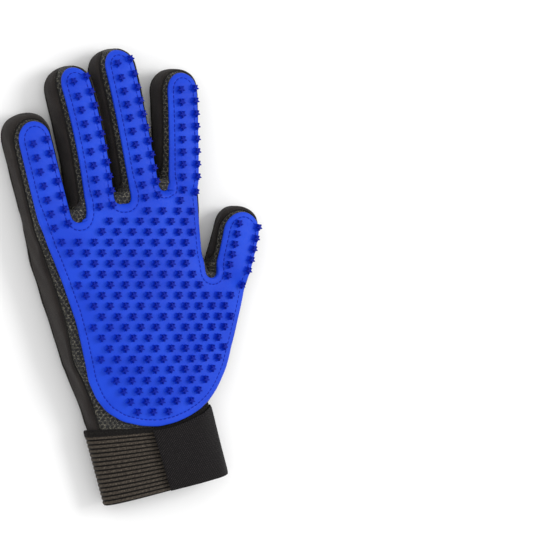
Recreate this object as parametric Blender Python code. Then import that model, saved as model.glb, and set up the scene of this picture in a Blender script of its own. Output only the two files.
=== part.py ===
"""Grooming glove for the right hand, lying on its back with the palm up.

+Y runs from the cuff to the fingertips, +X to the thumb side, +Z out of the palm.
Sizes below are millimetres.
"""

import math

import bpy
from mathutils import Vector
from mathutils.geometry import delaunay_2d_cdt

MM = 0.001
SHIFT = (9.565, -118.295, 0.0)  # puts the middle of the box's underside at the origin

FABRIC = 1.3  # wall of the stretch fabric and the mesh layer
SEAM_GAP = 0.15  # half the gap between two fabric pieces
JOINT_GAP = 0.35  # half the gap between two segments
MESH_MARGIN = 2.3  # mesh seen beside a finger pad
PAD_LIFT, PAD_THICK, PALM_PAD_LIFT = 0.3, 1.8, 0.65
NUB_RISE, NUB_FOOT, NUB_HEAD = 3.0, 1.7, 1.3
HINGE_LIFT = PAD_LIFT + PAD_THICK + 1.0  # hinge axis above the fabric's top

# lean is degrees toward -X at the base and at the tip; rows is (first, pitch, count) along the finger,
# and columns and aside are the gap between the two columns of nubs and how far off centre they sit
FINGERS = {
    "pinky": dict(base=(-59.3, 147.3), lean=(15, 13.5), length=56.4, wide=(11.9, 12.6), tall=(10.6, 9.2),
                  pad=8.4, pad_short=5.0, joints=(22.4, 37.2), rows=(3.9, 7.4, 6), columns=7.4, aside=1.0),
    "ring": dict(base=(-34.7, 157.7), lean=(6.5, 18), length=70.2, wide=(11.9, 12.6), tall=(11.2, 9.4),
                 pad=7.6, pad_short=1.8, joints=(29.2, 51.1), rows=(3.65, 7.3, 9), columns=7.2, aside=1.6),
    "middle": dict(base=(-8.7, 162.6), lean=(9.5, 14), length=75.0, wide=(11.4, 12.4), tall=(11.2, 9.4),
                   pad=7.6, pad_short=1.8, joints=(28.2, 49.4), rows=(3.55, 7.05, 10),
                   columns=7.2, aside=1.6),
    "index": dict(base=(14.4, 166.8), lean=(-2, 3), length=60.0, wide=(11.0, 12.0), tall=(10.9, 9.4),
                  pad=7.8, pad_short=3.2, joints=(19.5, 39.0), rows=(3.25, 6.5, 8), columns=7.4, aside=1.6),
    "thumb": dict(base=(45.4, 120.6), lean=(-19, -10), length=36.0, wide=(12.4, 11.6), tall=(8.2, 7.6),
                  pad=9.4, pad_short=4.0, joints=(17.1,), rows=(3.0, 5.65, 5), columns=10.4, aside=1.4),
}
SEGMENTS = ("base", "mid", "tip")
ROUND = 2.8  # superellipse power of a finger's section

# share of the way up the palm, left and right ends, crown height
PALM = (
    (0.00, -34.8, 34.4, 20.9), (0.10, -38.8, 41.0, 22.0), (0.20, -43.5, 46.0, 23.4),
    (0.30, -48.0, 50.0, 24.4), (0.40, -51.5, 52.8, 25.0), (0.50, -55.1, 55.6, 25.2),
    (0.53, -56.2, 56.6, 25.2), (0.61, -59.2, 29.8, 25.1), (0.70, -62.3, 28.5, 24.9),
    (0.85, -67.5, 27.6, 24.3), (1.00, -72.4, 27.2, 23.6),
)
THUMB_OPEN = (0.53, 0.61)
KNUCKLES = ((-75, 142.3), (-47.2, 149.8), (-46.0, 155.4), (-22.8, 158.0), (-20.2, 159.8),
            (2.6, 163.6), (3.4, 166.3), (30, 165.4))
WRIST = ((-34.4, 39.4), (35.0, 54.6))

# edge of the palm pad: little-finger side, heel, thumb side, then up to the index finger
PAD_LITTLE = ((-67.4, 145.1), (-66.0, 141.5), (-63.4, 134), (-60.4, 127), (-56.2, 116.5),
              (-52, 106), (-48.2, 95.7), (-45.2, 85.3), (-42.5, 75), (-39.6, 64.5), (-34.6, 55),
              (-29.0, 48.6), (-20.6, 43.6), (-10, 41.2))
PAD_HEEL = ((0, 40.7), (9, 42.4), (17.5, 45.6), (24.6, 49.6), (30.6, 54.4))
PAD_THUMB = ((35.6, 60.6), (40.8, 70), (44.8, 80), (48, 90.5), (51.2, 101), (53.6, 110))
PAD_INDEX = ((26.6, 122.5), (25.2, 132), (24.2, 142), (23.2, 154))
SLOTS = {"pinky": 145.0, "ring": 154.6, "middle": 161.6}
THUMB_SLOT = 117.4

NUB_ROW, NUB_PITCH, NUB_START = 5.45, 8.75, (-22.2, 103.2)
NUB_MARGIN = 5.9

CUFF_MOUTH, CUFF_TOP = (9.1, 7.6), (-1.2, 42.4)
CUFF_TILT = math.radians(12.4)
CUFF_WIDE, CUFF_TALL, CUFF_LIFT = 35.4, 9.0, 1.9
CUFF_WALL, RIB_DEPTH, RIBS = 1.6, 0.55, 16
BINDING = 3.0
STRAP_HINGE, STRAP_END = 52.0, 92.0  # degrees round the cuff's section from the thumb side
STRAP_BACK = -128.0
STRAP_THICK, PATCH_THICK, STRAP_GAP = 1.0, 0.5, 0.3

COLOURS = {
    "silicone": ((0.03, 0.10, 0.62, 1), 0.45),
    "mesh": ((0.02, 0.02, 0.018, 1), 0.9),
    "stretch": ((0.035, 0.028, 0.026, 1), 0.8),
    "elastic": ((0.03, 0.026, 0.02, 1), 0.85),
    "webbing": ((0.012, 0.011, 0.011, 1), 0.7),
    "loop": ((0.01, 0.01, 0.01, 1), 1.0),
    "hook": ((0.02, 0.02, 0.02, 1), 0.5),
}


def clear_scene():
    for old in list(bpy.data.objects):
        bpy.data.objects.remove(old, do_unlink=True)


def material(name):
    colour, rough = COLOURS[name]
    made = bpy.data.materials.get(name) or bpy.data.materials.new(name)
    made.use_nodes = True
    shader = made.node_tree.nodes["Principled BSDF"]
    shader.inputs["Base Color"].default_value = colour
    shader.inputs["Roughness"].default_value = rough
    made.diffuse_color = colour
    return made


def add_object(name, points, faces, finish, pivot=(0, 0, 0)):
    """A closed mesh whose origin is its joint's axis; points are in millimetres."""
    at = Vector(pivot)
    mesh = bpy.data.meshes.new(name)
    mesh.from_pydata([(Vector(p) - at) * MM for p in points], [], faces)
    mesh.validate()
    mesh.materials.append(material(finish))
    obj = bpy.data.objects.new(name, mesh)
    obj.location = (at + Vector(SHIFT)) * MM
    bpy.context.scene.collection.objects.link(obj)
    return obj


def mix(a, b, t):
    return a + (b - a) * t


def steps(low, high, count):
    return [mix(low, high, i / count) for i in range(count + 1)]


def along(table, at, column=1):
    """Straight-line reading of a table whose first column rises."""
    if at <= table[0][0]:
        return table[0][column]
    for low, high in zip(table, table[1:]):
        if at <= high[0]:
            return mix(low[column], high[column], (at - low[0]) / (high[0] - low[0]))
    return table[-1][column]


def root_curve(share, power):
    """Height of a superellipse of unit size at this share of its half width."""
    return (1 - min(abs(share), 1.0) ** power) ** (1 / power)


def ring_angle(angle, power):
    """Unit superellipse point at an angle in degrees."""
    c, s = math.cos(math.radians(angle)), math.sin(math.radians(angle))
    return (math.copysign(abs(c) ** (2 / power), c), math.copysign(abs(s) ** (2 / power), s))


def thicken(outer, inner, faces):
    """A closed solid from a patch with an outer and an inner point for each corner.

    Faces turn anticlockwise seen from outside.
    """
    count = len(outer)
    directed = {}
    for face in faces:
        for a, b in zip(face, face[1:] + face[:1]):
            directed[(a, b)] = True
    solid = [tuple(f) for f in faces] + [tuple(i + count for i in reversed(f)) for f in faces]
    for a, b in directed:
        if (b, a) not in directed:
            solid.append((b, a, a + count, b + count))
    used = sorted({i for f in solid for i in f})
    place = {old: new for new, old in enumerate(used)}
    both = list(outer) + list(inner)
    return [both[i] for i in used], [tuple(place[i] for i in f) for f in solid]


def grid_faces(rows, columns, flip=False):
    """Quads of a grid stored row by row; rows along +Y and columns along +X turn anticlockwise from +Z."""
    faces = []
    for r in range(rows - 1):
        for c in range(columns - 1):
            quad = [r * columns + c, r * columns + c + 1, (r + 1) * columns + c + 1, (r + 1) * columns + c]
            faces.append(quad[::-1] if flip else quad)
    return faces


# fingers


def finger_frame(f, s):
    """Point on the centre line, direction along it and direction across it."""
    low, high = (math.radians(a) for a in f["lean"])
    turn = (high - low) / f["length"]
    here, mean = low + turn * s, low + turn * s / 2
    x, y = f["base"]
    return (
        (x - s * math.sin(mean), y + s * math.cos(mean)),
        (-math.sin(here), math.cos(here)),
        (math.cos(here), math.sin(here)),
    )


def finger_size(f, s, inset=0.0):
    """Half width, half height and middle height of the section at s."""
    t = min(max(s / f["length"], 0), 1)
    wide = mix(*f["wide"], math.sin(min(t * 1.25, 1) * math.pi / 2) ** 2)
    tall = mix(*f["tall"], t)
    lift = 0.6 + tall
    end = f["length"] - inset
    nose = wide
    if s > end - nose:
        shrink = max(1 - min((s - end + nose) / nose, 1) ** 2.3, 0) ** (1 / 2.3)
        wide, tall = wide * shrink, tall * shrink
    return wide - inset, tall - inset, lift


def finger_point(f, s, across, height):
    (x, y), _, (ax, ay) = finger_frame(f, s)
    return (x + ax * across, y + ay * across, height)


def finger_top(f, s, q):
    wide, tall, lift = finger_size(f, s)
    return finger_point(f, s, q, lift + tall * root_curve(q / max(wide, 0.1), ROUND))


def finger_lifted(f, s, q, lift):
    """A point of the finger's palm side, raised along its normal."""
    at = Vector(finger_top(f, s, q))
    step = 0.4
    ds = Vector(finger_top(f, s + step, q)) - Vector(finger_top(f, s - step, q))
    dq = Vector(finger_top(f, s, q + step)) - Vector(finger_top(f, s, q - step))
    normal = dq.cross(ds).normalized()
    return tuple(at + normal * lift)


def hinge_point(f, s):
    x, y, z = finger_top(f, s, 0)
    return (x, y, z + HINGE_LIFT)


def segment_ends(f):
    cuts = [0.0, *f["joints"], f["length"]]
    return list(zip(cuts, cuts[1:]))


def sleeve_angles(f):
    """Angles round a section: the sleeve's, from seam to seam under the back, and the mesh strip's."""
    share = (f["pad"] + MESH_MARGIN) / f["wide"][0]
    small = SEAM_GAP / f["wide"][0]

    def at(q):
        return math.degrees(math.acos(math.copysign(abs(q) ** (ROUND / 2), q)))

    seam_right, seam_left = at(share + small), at(-share - small)
    sleeve = [seam_left, 168, 187, 208, 232, 257, 283, 308, 332, 353, 372, seam_right + 360]
    strip = [at(q) for q in (share - small, share * 0.55, 0, -share * 0.55, -share + small)]
    return sleeve, strip


def section(f, s, angles, inset=0.0):
    wide, tall, lift = finger_size(f, s, inset)
    points = []
    for angle in angles:
        across, up = ring_angle(angle, ROUND)
        points.append(finger_point(f, s, wide * across, max(lift + tall * up, 0.6 + inset)))
    return points


def finger_stations(f, start, end, last):
    if not last:
        return [start + JOINT_GAP, mix(start, end, 0.5), end - JOINT_GAP]
    nose = f["wide"][1]
    tip = [end - nose * k for k in (1.0, 0.62, 0.36, 0.16, 0.035)]
    first = start + JOINT_GAP
    return [first] + [s for s in tip if s > first + 1]


def sleeve(name, f, start, end, last, pivot):
    angles, strip = sleeve_angles(f)
    stations = finger_stations(f, start, end, last)
    outer, inner = [], []
    ring = angles + (strip if last else [])
    inner_end = f["length"] - FABRIC * 1.5
    for s in stations:
        outer += section(f, s, ring)
        inner += section(f, min(s, inner_end), ring, FABRIC)
    size, arc = len(ring), len(angles)
    faces = []
    for r in range(len(stations) - 1):
        whole = last and r == len(stations) - 2
        for c in range(size if whole else arc - 1):
            d = (c + 1) % size
            faces.append([(r + 1) * size + c, (r + 1) * size + d, r * size + d, r * size + c])
    if last:
        faces.append([(len(stations) - 1) * size + c for c in range(size)][::-1])
    points, solid = thicken(outer, inner, faces)
    return add_object(name, points, solid, "stretch", pivot)


def mesh_strip(name, f, start, end, last, pivot):
    _, angles = sleeve_angles(f)
    stations = finger_stations(f, start, end, last)
    if last:
        stations = stations[:-1]
        stations[-1] -= 2 * SEAM_GAP
    outer, inner = [], []
    for s in stations:
        outer += section(f, s, angles[::-1])
        inner += section(f, s, angles[::-1], FABRIC)
    points, solid = thicken(outer, inner, grid_faces(len(stations), len(angles)))
    return add_object(name, points, solid, "mesh", pivot)


def polygon_post(x, y, radius, turn=-math.pi / 2):
    return [(x + radius * math.cos(turn + k * math.tau / 5), y + radius * math.sin(turn + k * math.tau / 5))
            for k in range(5)]


def inside(point, outline):
    x, y = point
    odd = False
    for (x0, y0), (x1, y1) in zip(outline, outline[1:] + outline[:1]):
        if (y0 > y) != (y1 > y) and x < x0 + (y - y0) * (x1 - x0) / (y1 - y0):
            odd = not odd
    return odd


def from_outline(point, outline):
    x, y = point
    best = 1e9
    for (x0, y0), (x1, y1) in zip(outline, outline[1:] + outline[:1]):
        dx, dy = x1 - x0, y1 - y0
        t = min(max(((x - x0) * dx + (y - y0) * dy) / (dx * dx + dy * dy + 1e-12), 0), 1)
        best = min(best, math.hypot(x - x0 - dx * t, y - y0 - dy * t))
    return best


def triangulate(loops, extra):
    """Triangles inside the first loop, with the loops' edges kept."""
    points, edges = [], []
    for loop in loops:
        first = len(points)
        points += loop
        edges += [(first + i, first + (i + 1) % len(loop)) for i in range(len(loop))]
    count = len(points)
    points += extra
    made = delaunay_2d_cdt([Vector(p) for p in points], edges, [], 0, 1e-5, True)
    xy, faces, origin = made[0], made[2], made[3]
    source = [min(o) if o else -1 for o in origin]
    kept = []
    for face in faces:
        centre = (sum(xy[i].x for i in face) / 3, sum(xy[i].y for i in face) / 3)
        if inside(centre, loops[0]):
            a, b, c = (xy[i] for i in face)
            turns = (b.x - a.x) * (c.y - a.y) - (b.y - a.y) * (c.x - a.x)
            kept.append(tuple(face) if turns > 0 else tuple(face[::-1]))
    return [tuple(p) for p in xy], kept, source, count


def plate(name, outline, nubs, extra, place, low, high, finish, pivot=(0, 0, 0)):
    """A plate over a surface, with nubs raised from its top in the same closed skin.

    place(u, v, lift) gives a point.
    """
    posts = [polygon_post(x, y, NUB_FOOT) for x, y in nubs]
    clear = [p for p in extra if all(math.dist(p, n) > NUB_FOOT + 0.6 for n in nubs)]
    xy, faces, source, _ = triangulate([outline, *posts], clear)
    rim = len(outline)
    points = [place(u, v, high) for u, v in xy]
    solid = []
    centres = [(sum(p[0] for p in post) / 5, sum(p[1] for p in post) / 5) for post in posts]
    by_source = {o: i for i, o in enumerate(source) if o >= 0}
    for face in faces:
        middle = (sum(xy[i][0] for i in face) / 3, sum(xy[i][1] for i in face) / 3)
        if not any(math.hypot(middle[0] - x, middle[1] - y) < NUB_FOOT * 0.8 for x, y in centres):
            solid.append(face)
    for n, (x, y) in enumerate(centres):
        feet = [by_source[rim + 5 * n + k] for k in range(5)]
        first = len(points)
        points += [place(u, v, high + NUB_RISE) for u, v in polygon_post(x, y, NUB_HEAD)]
        for k in range(5):
            m = (k + 1) % 5
            solid.append((feet[k], feet[m], first + m, first + k))
        solid.append(tuple(first + k for k in range(5)))
    top_rim = [by_source[k] for k in range(rim)]
    under_xy, under, under_source, _ = triangulate([outline], extra)
    first = len(points)
    points += [place(u, v, low) for u, v in under_xy]
    solid += [tuple(first + i for i in reversed(f)) for f in under]
    low_of = {o: i for i, o in enumerate(under_source) if o >= 0}
    for k in range(rim):
        m = (k + 1) % rim
        solid.append((top_rim[m], top_rim[k], first + low_of[k], first + low_of[m]))
    return add_object(name, points, solid, finish, pivot)


def finger_pad(name, f, start, end, last, pivot):
    half, bend = f["pad"], (f["pad"] + MESH_MARGIN) * 0.55
    low = start + JOINT_GAP
    nubs = []
    first, pitch, count = f["rows"]
    top = f["length"] - f["pad_short"]
    for k in range(count):
        for side in (-1, 1):
            s = first + pitch * k + side * 0.25
            if start < s < end and s < top - 5:
                nubs.append((side * f["columns"] / 2 + f["aside"], s))
    if last:
        turn = top - half
        outline = [(-half, turn), (-half, low), (half, low), (half, turn)]
        outline += [(half * math.cos(a), turn + half * math.sin(a))
                    for a in steps(0, math.pi, 8)[1:-1]]
        outline[2:2] = [(-bend, low), (0, low), (bend, low)]
        extra = [(q, s) for s in steps(low, turn + half * 0.75, 5)[1:] for q in (-bend, 0.0, bend)]
        extra = [p for p in extra if from_outline(p, outline) > 0.8 and inside(p, outline)]
    else:
        high, centre = end - JOINT_GAP, mix(start, end, 0.5)
        outline = [(-half, high), (-half, centre), (-half, low), (-bend, low), (0, low), (bend, low),
                   (half, low), (half, centre), (half, high), (bend, high), (0, high), (-bend, high)]
        extra = [(q, centre) for q in (-bend, 0.0, bend)]

    def place(q, s, lift):
        return finger_lifted(f, s, q, lift)

    return plate(name, outline, nubs, extra, place, PAD_LIFT, PAD_LIFT + PAD_THICK, "silicone", pivot)


def build_finger(name, f):
    ends = segment_ends(f)
    for label, (start, end) in zip(SEGMENTS[3 - len(ends):], ends):
        last = end == f["length"]
        pivot = hinge_point(f, start)
        sleeve(f"{name}_{label}_sleeve", f, start, end, last, pivot)
        mesh_strip(f"{name}_{label}_mesh", f, start, end, last, pivot)
        finger_pad(f"{name}_{label}_pad", f, start, end, last, pivot)


# palm


def palm_share(x, y):
    low, high = along(WRIST, x), along(KNUCKLES, x)
    return (y - low) / (high - low)


def palm_y(x, share):
    return mix(along(WRIST, x), along(KNUCKLES, x), share)


def palm_power(share):
    return mix(2.4, 4.5, min(max(share / 0.3, 0), 1))


def palm_ends(share, for_height=False):
    left, right = along(PALM, share, 1), along(PALM, share, 2)
    if for_height and THUMB_OPEN[0] < share < 0.70:
        right = mix(57.0, 28.3, min(max((share - 0.62) / 0.08, 0), 1))
    return left, right


def palm_middle(share):
    return mix(CUFF_LIFT + CUFF_TALL, 9.0, min(max(share / 0.3, 0), 1))


def palm_height(x, share, inset=0.0):
    """Top of the palm fabric at x on this section."""
    left, right = palm_ends(share, True)
    middle, half = (left + right) / 2, (right - left) / 2 - inset
    fade = min(max(share / 0.25, 0), 1)
    fall = 0.68 * (max(x, 0) / 50) ** 1.4 * fade
    top = (along(PALM, share, 3) - palm_middle(share)) * (1 - fall) - inset
    return palm_middle(share) + top * root_curve((x - middle) / half, palm_power(share))


def palm_floor(x, share, inset=0.0):
    left, right = palm_ends(share)
    middle, half = (left + right) / 2, (right - left) / 2 - inset
    base = palm_middle(share)
    curve = root_curve((x - middle) / half, mix(2.4, 3.4, min(max(share / 0.3, 0), 1)))
    return max((base + 1.5) * (1 - curve) - 1.5, 0) + inset


def palm_arc(share, shares, top, inset=0.0):
    """Points across a section, at shares of its half width from -1 to 1."""
    left, right = palm_ends(share)
    middle, half = (left + right) / 2, (right - left) / 2 - inset
    points = []
    for q in shares:
        x = middle + half * q
        z = palm_height(x, share, inset) if top else palm_floor(x, share, inset)
        points.append((x, palm_y(x, share), z))
    return points


PALM_SHARES = [row[0] for row in PALM]
SIDE = 0.93  # share of the half width where top and back panels meet the side strips


def panel_shares():
    return [math.copysign(abs(q) ** 0.8 * SIDE, q) if q else 0 for q in steps(-1, 1, 12)]


def palm_panel(name, top, finish):
    shares = panel_shares()
    outer, inner = [], []
    for v in PALM_SHARES:
        outer += palm_arc(v, shares, top)
        inner += palm_arc(v, shares, top, FABRIC)
    points, solid = thicken(outer, inner, grid_faces(len(PALM_SHARES), len(shares), not top))
    return add_object(name, points, solid, finish)


def palm_side(name, sign, low, high):
    """The strip that closes one side of the palm, from the top panel round to the back panel."""
    edge = SIDE + 0.008
    turns = (edge, 0.965, 0.988, 1.0)
    outer, inner = [], []
    stations = [v for v in PALM_SHARES if low <= v <= high]
    for v in stations:
        for inset, store in ((0.0, outer), (FABRIC, inner)):
            upper = palm_arc(v, [sign * q for q in turns], True, inset)
            lower = palm_arc(v, [sign * q for q in turns[:-1]], False, inset)
            rim = upper[-1]
            rim = (rim[0], rim[1], palm_middle(v))
            store += upper[:-1] + [rim] + lower[::-1]
    size = 2 * len(turns) - 1
    points, solid = thicken(outer, inner, grid_faces(len(stations), size, sign < 0))
    return add_object(name, points, solid, "stretch")


def pad_corner(name, side):
    f = FINGERS[name]
    (x, y), (dx, dy), (ax, ay) = finger_frame(f, 0)
    back = JOINT_GAP
    return (x + side * f["pad"] * ax - dx * back, y + side * f["pad"] * ay - dy * back)


def slot(start, end, bottom, count=6):
    """Rounded bottom of the gap between two pad fingers, from one corner down and up to the other."""
    middle, half = (start[0] + end[0]) / 2, (end[0] - start[0]) / 2
    points = []
    for a in steps(math.pi, 2 * math.pi, count):
        level = mix(start[1], end[1], (1 + math.cos(a)) / 2)
        points.append((middle + half * math.cos(a), level + (level - bottom) * math.sin(a)))
    return points


def palm_outline():
    """Edge of the palm pad, anticlockwise from the heel."""
    index_right = pad_corner("index", 1)
    thumb_left, thumb_right = pad_corner("thumb", -1), pad_corner("thumb", 1)
    line = list(PAD_HEEL) + list(PAD_THUMB) + [thumb_right]
    web = slot(PAD_INDEX[0], thumb_left, THUMB_SLOT)
    line += web[::-1]
    line += list(PAD_INDEX[1:]) + [index_right]
    order = ("pinky", "ring", "middle", "index")
    for left, right in reversed(list(zip(order, order[1:]))):
        line += slot(pad_corner(left, 1), pad_corner(right, -1), SLOTS[left])[::-1]
    return line + list(PAD_LITTLE)


def split_long(line, most):
    """The closed outline with points added, a hair outside, so that no side is longer than this."""
    points = []
    for a, b in zip(line, line[1:] + line[:1]):
        far = math.dist(a, b)
        count = max(math.ceil(far / most), 1)
        out = (0.03 * (b[1] - a[1]) / far, -0.03 * (b[0] - a[0]) / far)
        points.append(a)
        points += [(mix(a[0], b[0], k / count) + out[0], mix(a[1], b[1], k / count) + out[1])
                   for k in range(1, count)]
    return points


def palm_lifted(x, y, lift):
    def top(a, b):
        return Vector((a, b, palm_height(a, palm_share(a, b))))

    step = 0.5
    dx, dy = top(x + step, y) - top(x - step, y), top(x, y + step) - top(x, y - step)
    return tuple(top(x, y) + dx.cross(dy).normalized() * lift)


def palm_nubs(outline):
    """Staggered rows; the pitch is measured along the curved pad."""
    found = []
    for row in range(-13, 12):
        y = NUB_START[1] + NUB_ROW * row
        for way in (-1, 1):
            x, run = NUB_START[0], 0.0
            goal = NUB_PITCH * (0.5 if row % 2 else (0 if way > 0 else 1))
            while -75 < x < 60:
                rise = palm_lifted(x + way * 0.25, y, 0)[2] - palm_lifted(x, y, 0)[2]
                if run >= goal:
                    if inside((x, y), outline) and from_outline((x, y), outline) > NUB_MARGIN:
                        found.append((x, y))
                    goal += NUB_PITCH
                run += math.hypot(0.25, rise)
                x += way * 0.25
    for name, f in FINGERS.items():
        (x, y), (dx, dy), (ax, ay) = finger_frame(f, 0)
        back = f["rows"][0] if name != "thumb" else 3.2
        sides = [k * f["columns"] / 2 + f["aside"] for k in (-1, 1)]
        row = [(x - dx * back + ax * q, y - dy * back + ay * q) for q in sides]
        found = [n for n in found if all(math.dist(n, m) > 5.2 for m in row)] + row
    return found


def palm_pad():
    outline = split_long(palm_outline(), 6.5)
    rows = sorted(PALM_SHARES + [0.05, 0.15, 0.93])
    extra = [p[:2] for v in rows for p in palm_arc(v, panel_shares(), True)]
    extra = [p for p in extra if inside(p, outline) and from_outline(p, outline) > 0.9]
    nubs = palm_nubs(outline)
    return plate("palm_pad", outline, nubs, extra, palm_lifted, PALM_PAD_LIFT, PAD_LIFT + PAD_THICK,
                 "silicone")


def web(name, x, half):
    """A small wall of fabric that closes the palm between two finger openings."""
    outer, inner = [], []
    share = 0.985
    for level in (0, 0.35, 0.7, 1):
        for k in (-1, 0, 1):
            px = x + k * half
            low = palm_floor(px, share, FABRIC) + 0.3
            high = palm_height(px, share, FABRIC) - 0.5
            y = palm_y(px, share) - 1.2 * (1 - abs(k))
            outer.append((px, y, mix(low, high, level)))
            inner.append((px, y - FABRIC, mix(low, high, level)))
    points, solid = thicken(outer, inner, grid_faces(4, 3, True))
    return add_object(name, points, solid, "stretch")


def build_palm():
    palm_panel("back_panel", False, "stretch")
    palm_panel("palm_mesh", True, "mesh")
    palm_side("little_side", -1, 0, 1)
    palm_side("thumb_gusset", 1, 0, THUMB_OPEN[0])
    palm_side("index_side", 1, THUMB_OPEN[1], 1)
    palm_pad()
    web("web_little_ring", -46.6, 2.4)
    web("web_ring_middle", -21.5, 2.2)
    web("web_middle_index", 3.0, 2.0)


# cuff and strap


def cuff_point(along_cuff, angle, lift, power=2.4):
    """A point of the cuff: along from mouth (0) to top (1), angle from the thumb side over the palm."""
    x = mix(CUFF_MOUTH[0], CUFF_TOP[0], along_cuff)
    y = mix(CUFF_MOUTH[1], CUFF_TOP[1], along_cuff)
    across, up = ring_angle(angle, power)
    wide, tall = CUFF_WIDE + lift, CUFF_TALL + lift
    across, up = across * wide, up * tall
    return (x + across * math.cos(CUFF_TILT), y + across * math.sin(CUFF_TILT), CUFF_LIFT + CUFF_TALL + up)


def band(name, levels, angles, finish):
    """A strip round the cuff from (along, outer lift, inner lift) levels."""
    outer, inner = [], []
    for t, high, low in levels:
        for a in angles:
            outer.append(cuff_point(t, a, high))
            inner.append(cuff_point(t, a, low))
    size = len(angles)
    faces = []
    for r in range(len(levels) - 1):
        for c in range(size):
            d = (c + 1) % size
            faces.append([r * size + d, r * size + c, (r + 1) * size + c, (r + 1) * size + d])
    points, solid = thicken(outer, inner, faces)
    return add_object(name, points, solid, finish)


def strap_top(angle):
    """Share of the cuff's height that the strap reaches, kept clear of the pad's heel."""
    x, y, _ = cuff_point(0.9, angle, 2)
    heel = along(((-15, 40.6), *PAD_HEEL, (35.6, 60.6)), x) - 1.0
    reach = (heel - cuff_point(0, angle, 0)[1]) / (CUFF_TOP[1] - CUFF_MOUTH[1])
    return min(reach, 0.985)


def strap_piece(name, ends, count, margin, low, high, finish, pivot=(0, 0, 0)):
    """A strip over the palm side of the cuff between two angles and two lifts."""
    angles = steps(*ends, count)
    outer, inner = [], []
    for level in (0, 0.33, 0.67, 1):
        for a in angles:
            t = mix(margin, strap_top(a) - margin, level)
            outer.append(cuff_point(t, a, high))
            inner.append(cuff_point(t, a, low))
    points, solid = thicken(outer, inner, grid_faces(4, len(angles), True))
    return add_object(name, points, solid, finish, pivot)


def strap_lift():
    return RIB_DEPTH + 3 * STRAP_GAP + 2 * PATCH_THICK


def strap_pivot():
    return cuff_point(0.5, STRAP_HINGE, strap_lift() + STRAP_THICK)


def strap_anchor(angles):
    """The fixed part of the strap: down beside the hinge, round the thumb side and under the back."""
    outer, inner = [], []
    for level in (0, 1):
        for a in angles:
            reach = min(strap_top(max(a, 40)) if a > 0 else 1, 0.96)
            settle = min(max((a - 10) / (STRAP_HINGE - 10), 0), 1)
            low = mix(RIB_DEPTH + STRAP_GAP, strap_lift(), settle)
            outer.append(cuff_point(reach * level, a, low + STRAP_THICK))
            inner.append(cuff_point(reach * level, a, low))
    points, solid = thicken(outer, inner, grid_faces(2, len(angles), True))
    return add_object("strap_anchor", points, solid, "webbing")


def build_cuff():
    ring = [i * 18 for i in range(20)]
    ribs = [(k / (2 * RIBS), RIB_DEPTH if k % 2 else 0.0, RIB_DEPTH - CUFF_WALL)
            for k in range(2 * RIBS + 1)]
    band("cuff_band", ribs, ring, "elastic")
    span = math.hypot(CUFF_TOP[0] - CUFF_MOUTH[0], CUFF_TOP[1] - CUFF_MOUTH[1])
    start = 1 + 0.3 / span
    stop = start + BINDING / span
    band("wrist_binding", [(start, 0.2, -0.9), (stop, 0.2, -0.9)], ring, "webbing")
    low, lift = RIB_DEPTH + STRAP_GAP, strap_lift()
    strap_piece("loop_patch", (STRAP_HINGE + 5, STRAP_END - 4), 6, 0.05, low, low + PATCH_THICK, "loop")
    strap_piece("hook_patch", (STRAP_HINGE + 9, STRAP_END - 6), 6, 0.09,
                lift - STRAP_GAP - PATCH_THICK, lift - STRAP_GAP, "hook", strap_pivot())
    strap_piece("strap_tab", (STRAP_HINGE + 0.35, STRAP_END), 8, 0.0,
                lift, lift + STRAP_THICK, "webbing", strap_pivot())
    strap_anchor(steps(STRAP_BACK, STRAP_HINGE - 0.35, 14))


def build():
    clear_scene()
    bpy.context.scene.unit_settings.scale_length = 1.0
    for name, f in FINGERS.items():
        build_finger(name, f)
    build_palm()
    build_cuff()


build()
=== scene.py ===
"""Looks of the grooming glove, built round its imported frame.

Lengths are millimetres in the glove's own layout; SHIFT moves that layout to the row frame.
"""

import math

import bpy
import numpy as np
from mathutils import Matrix, Vector
from mathutils.bvhtree import BVHTree
from mathutils.geometry import delaunay_2d_cdt
from mathutils.kdtree import KDTree


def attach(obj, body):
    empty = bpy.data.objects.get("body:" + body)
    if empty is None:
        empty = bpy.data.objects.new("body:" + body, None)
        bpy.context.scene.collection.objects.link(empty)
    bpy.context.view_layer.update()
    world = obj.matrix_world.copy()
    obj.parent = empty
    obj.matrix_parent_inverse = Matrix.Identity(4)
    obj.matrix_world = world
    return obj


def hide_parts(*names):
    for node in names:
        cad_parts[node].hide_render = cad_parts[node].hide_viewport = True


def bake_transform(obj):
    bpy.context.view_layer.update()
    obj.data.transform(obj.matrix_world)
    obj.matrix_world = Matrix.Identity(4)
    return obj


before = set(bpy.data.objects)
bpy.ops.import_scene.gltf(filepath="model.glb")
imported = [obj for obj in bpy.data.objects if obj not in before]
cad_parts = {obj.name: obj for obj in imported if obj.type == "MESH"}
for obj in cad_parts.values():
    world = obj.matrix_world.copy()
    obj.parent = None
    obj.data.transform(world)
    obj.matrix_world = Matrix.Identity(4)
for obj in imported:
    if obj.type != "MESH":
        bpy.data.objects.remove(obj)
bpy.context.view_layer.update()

MM = 0.001
SHIFT = np.array([9.565, -118.295, 0.0])

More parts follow.
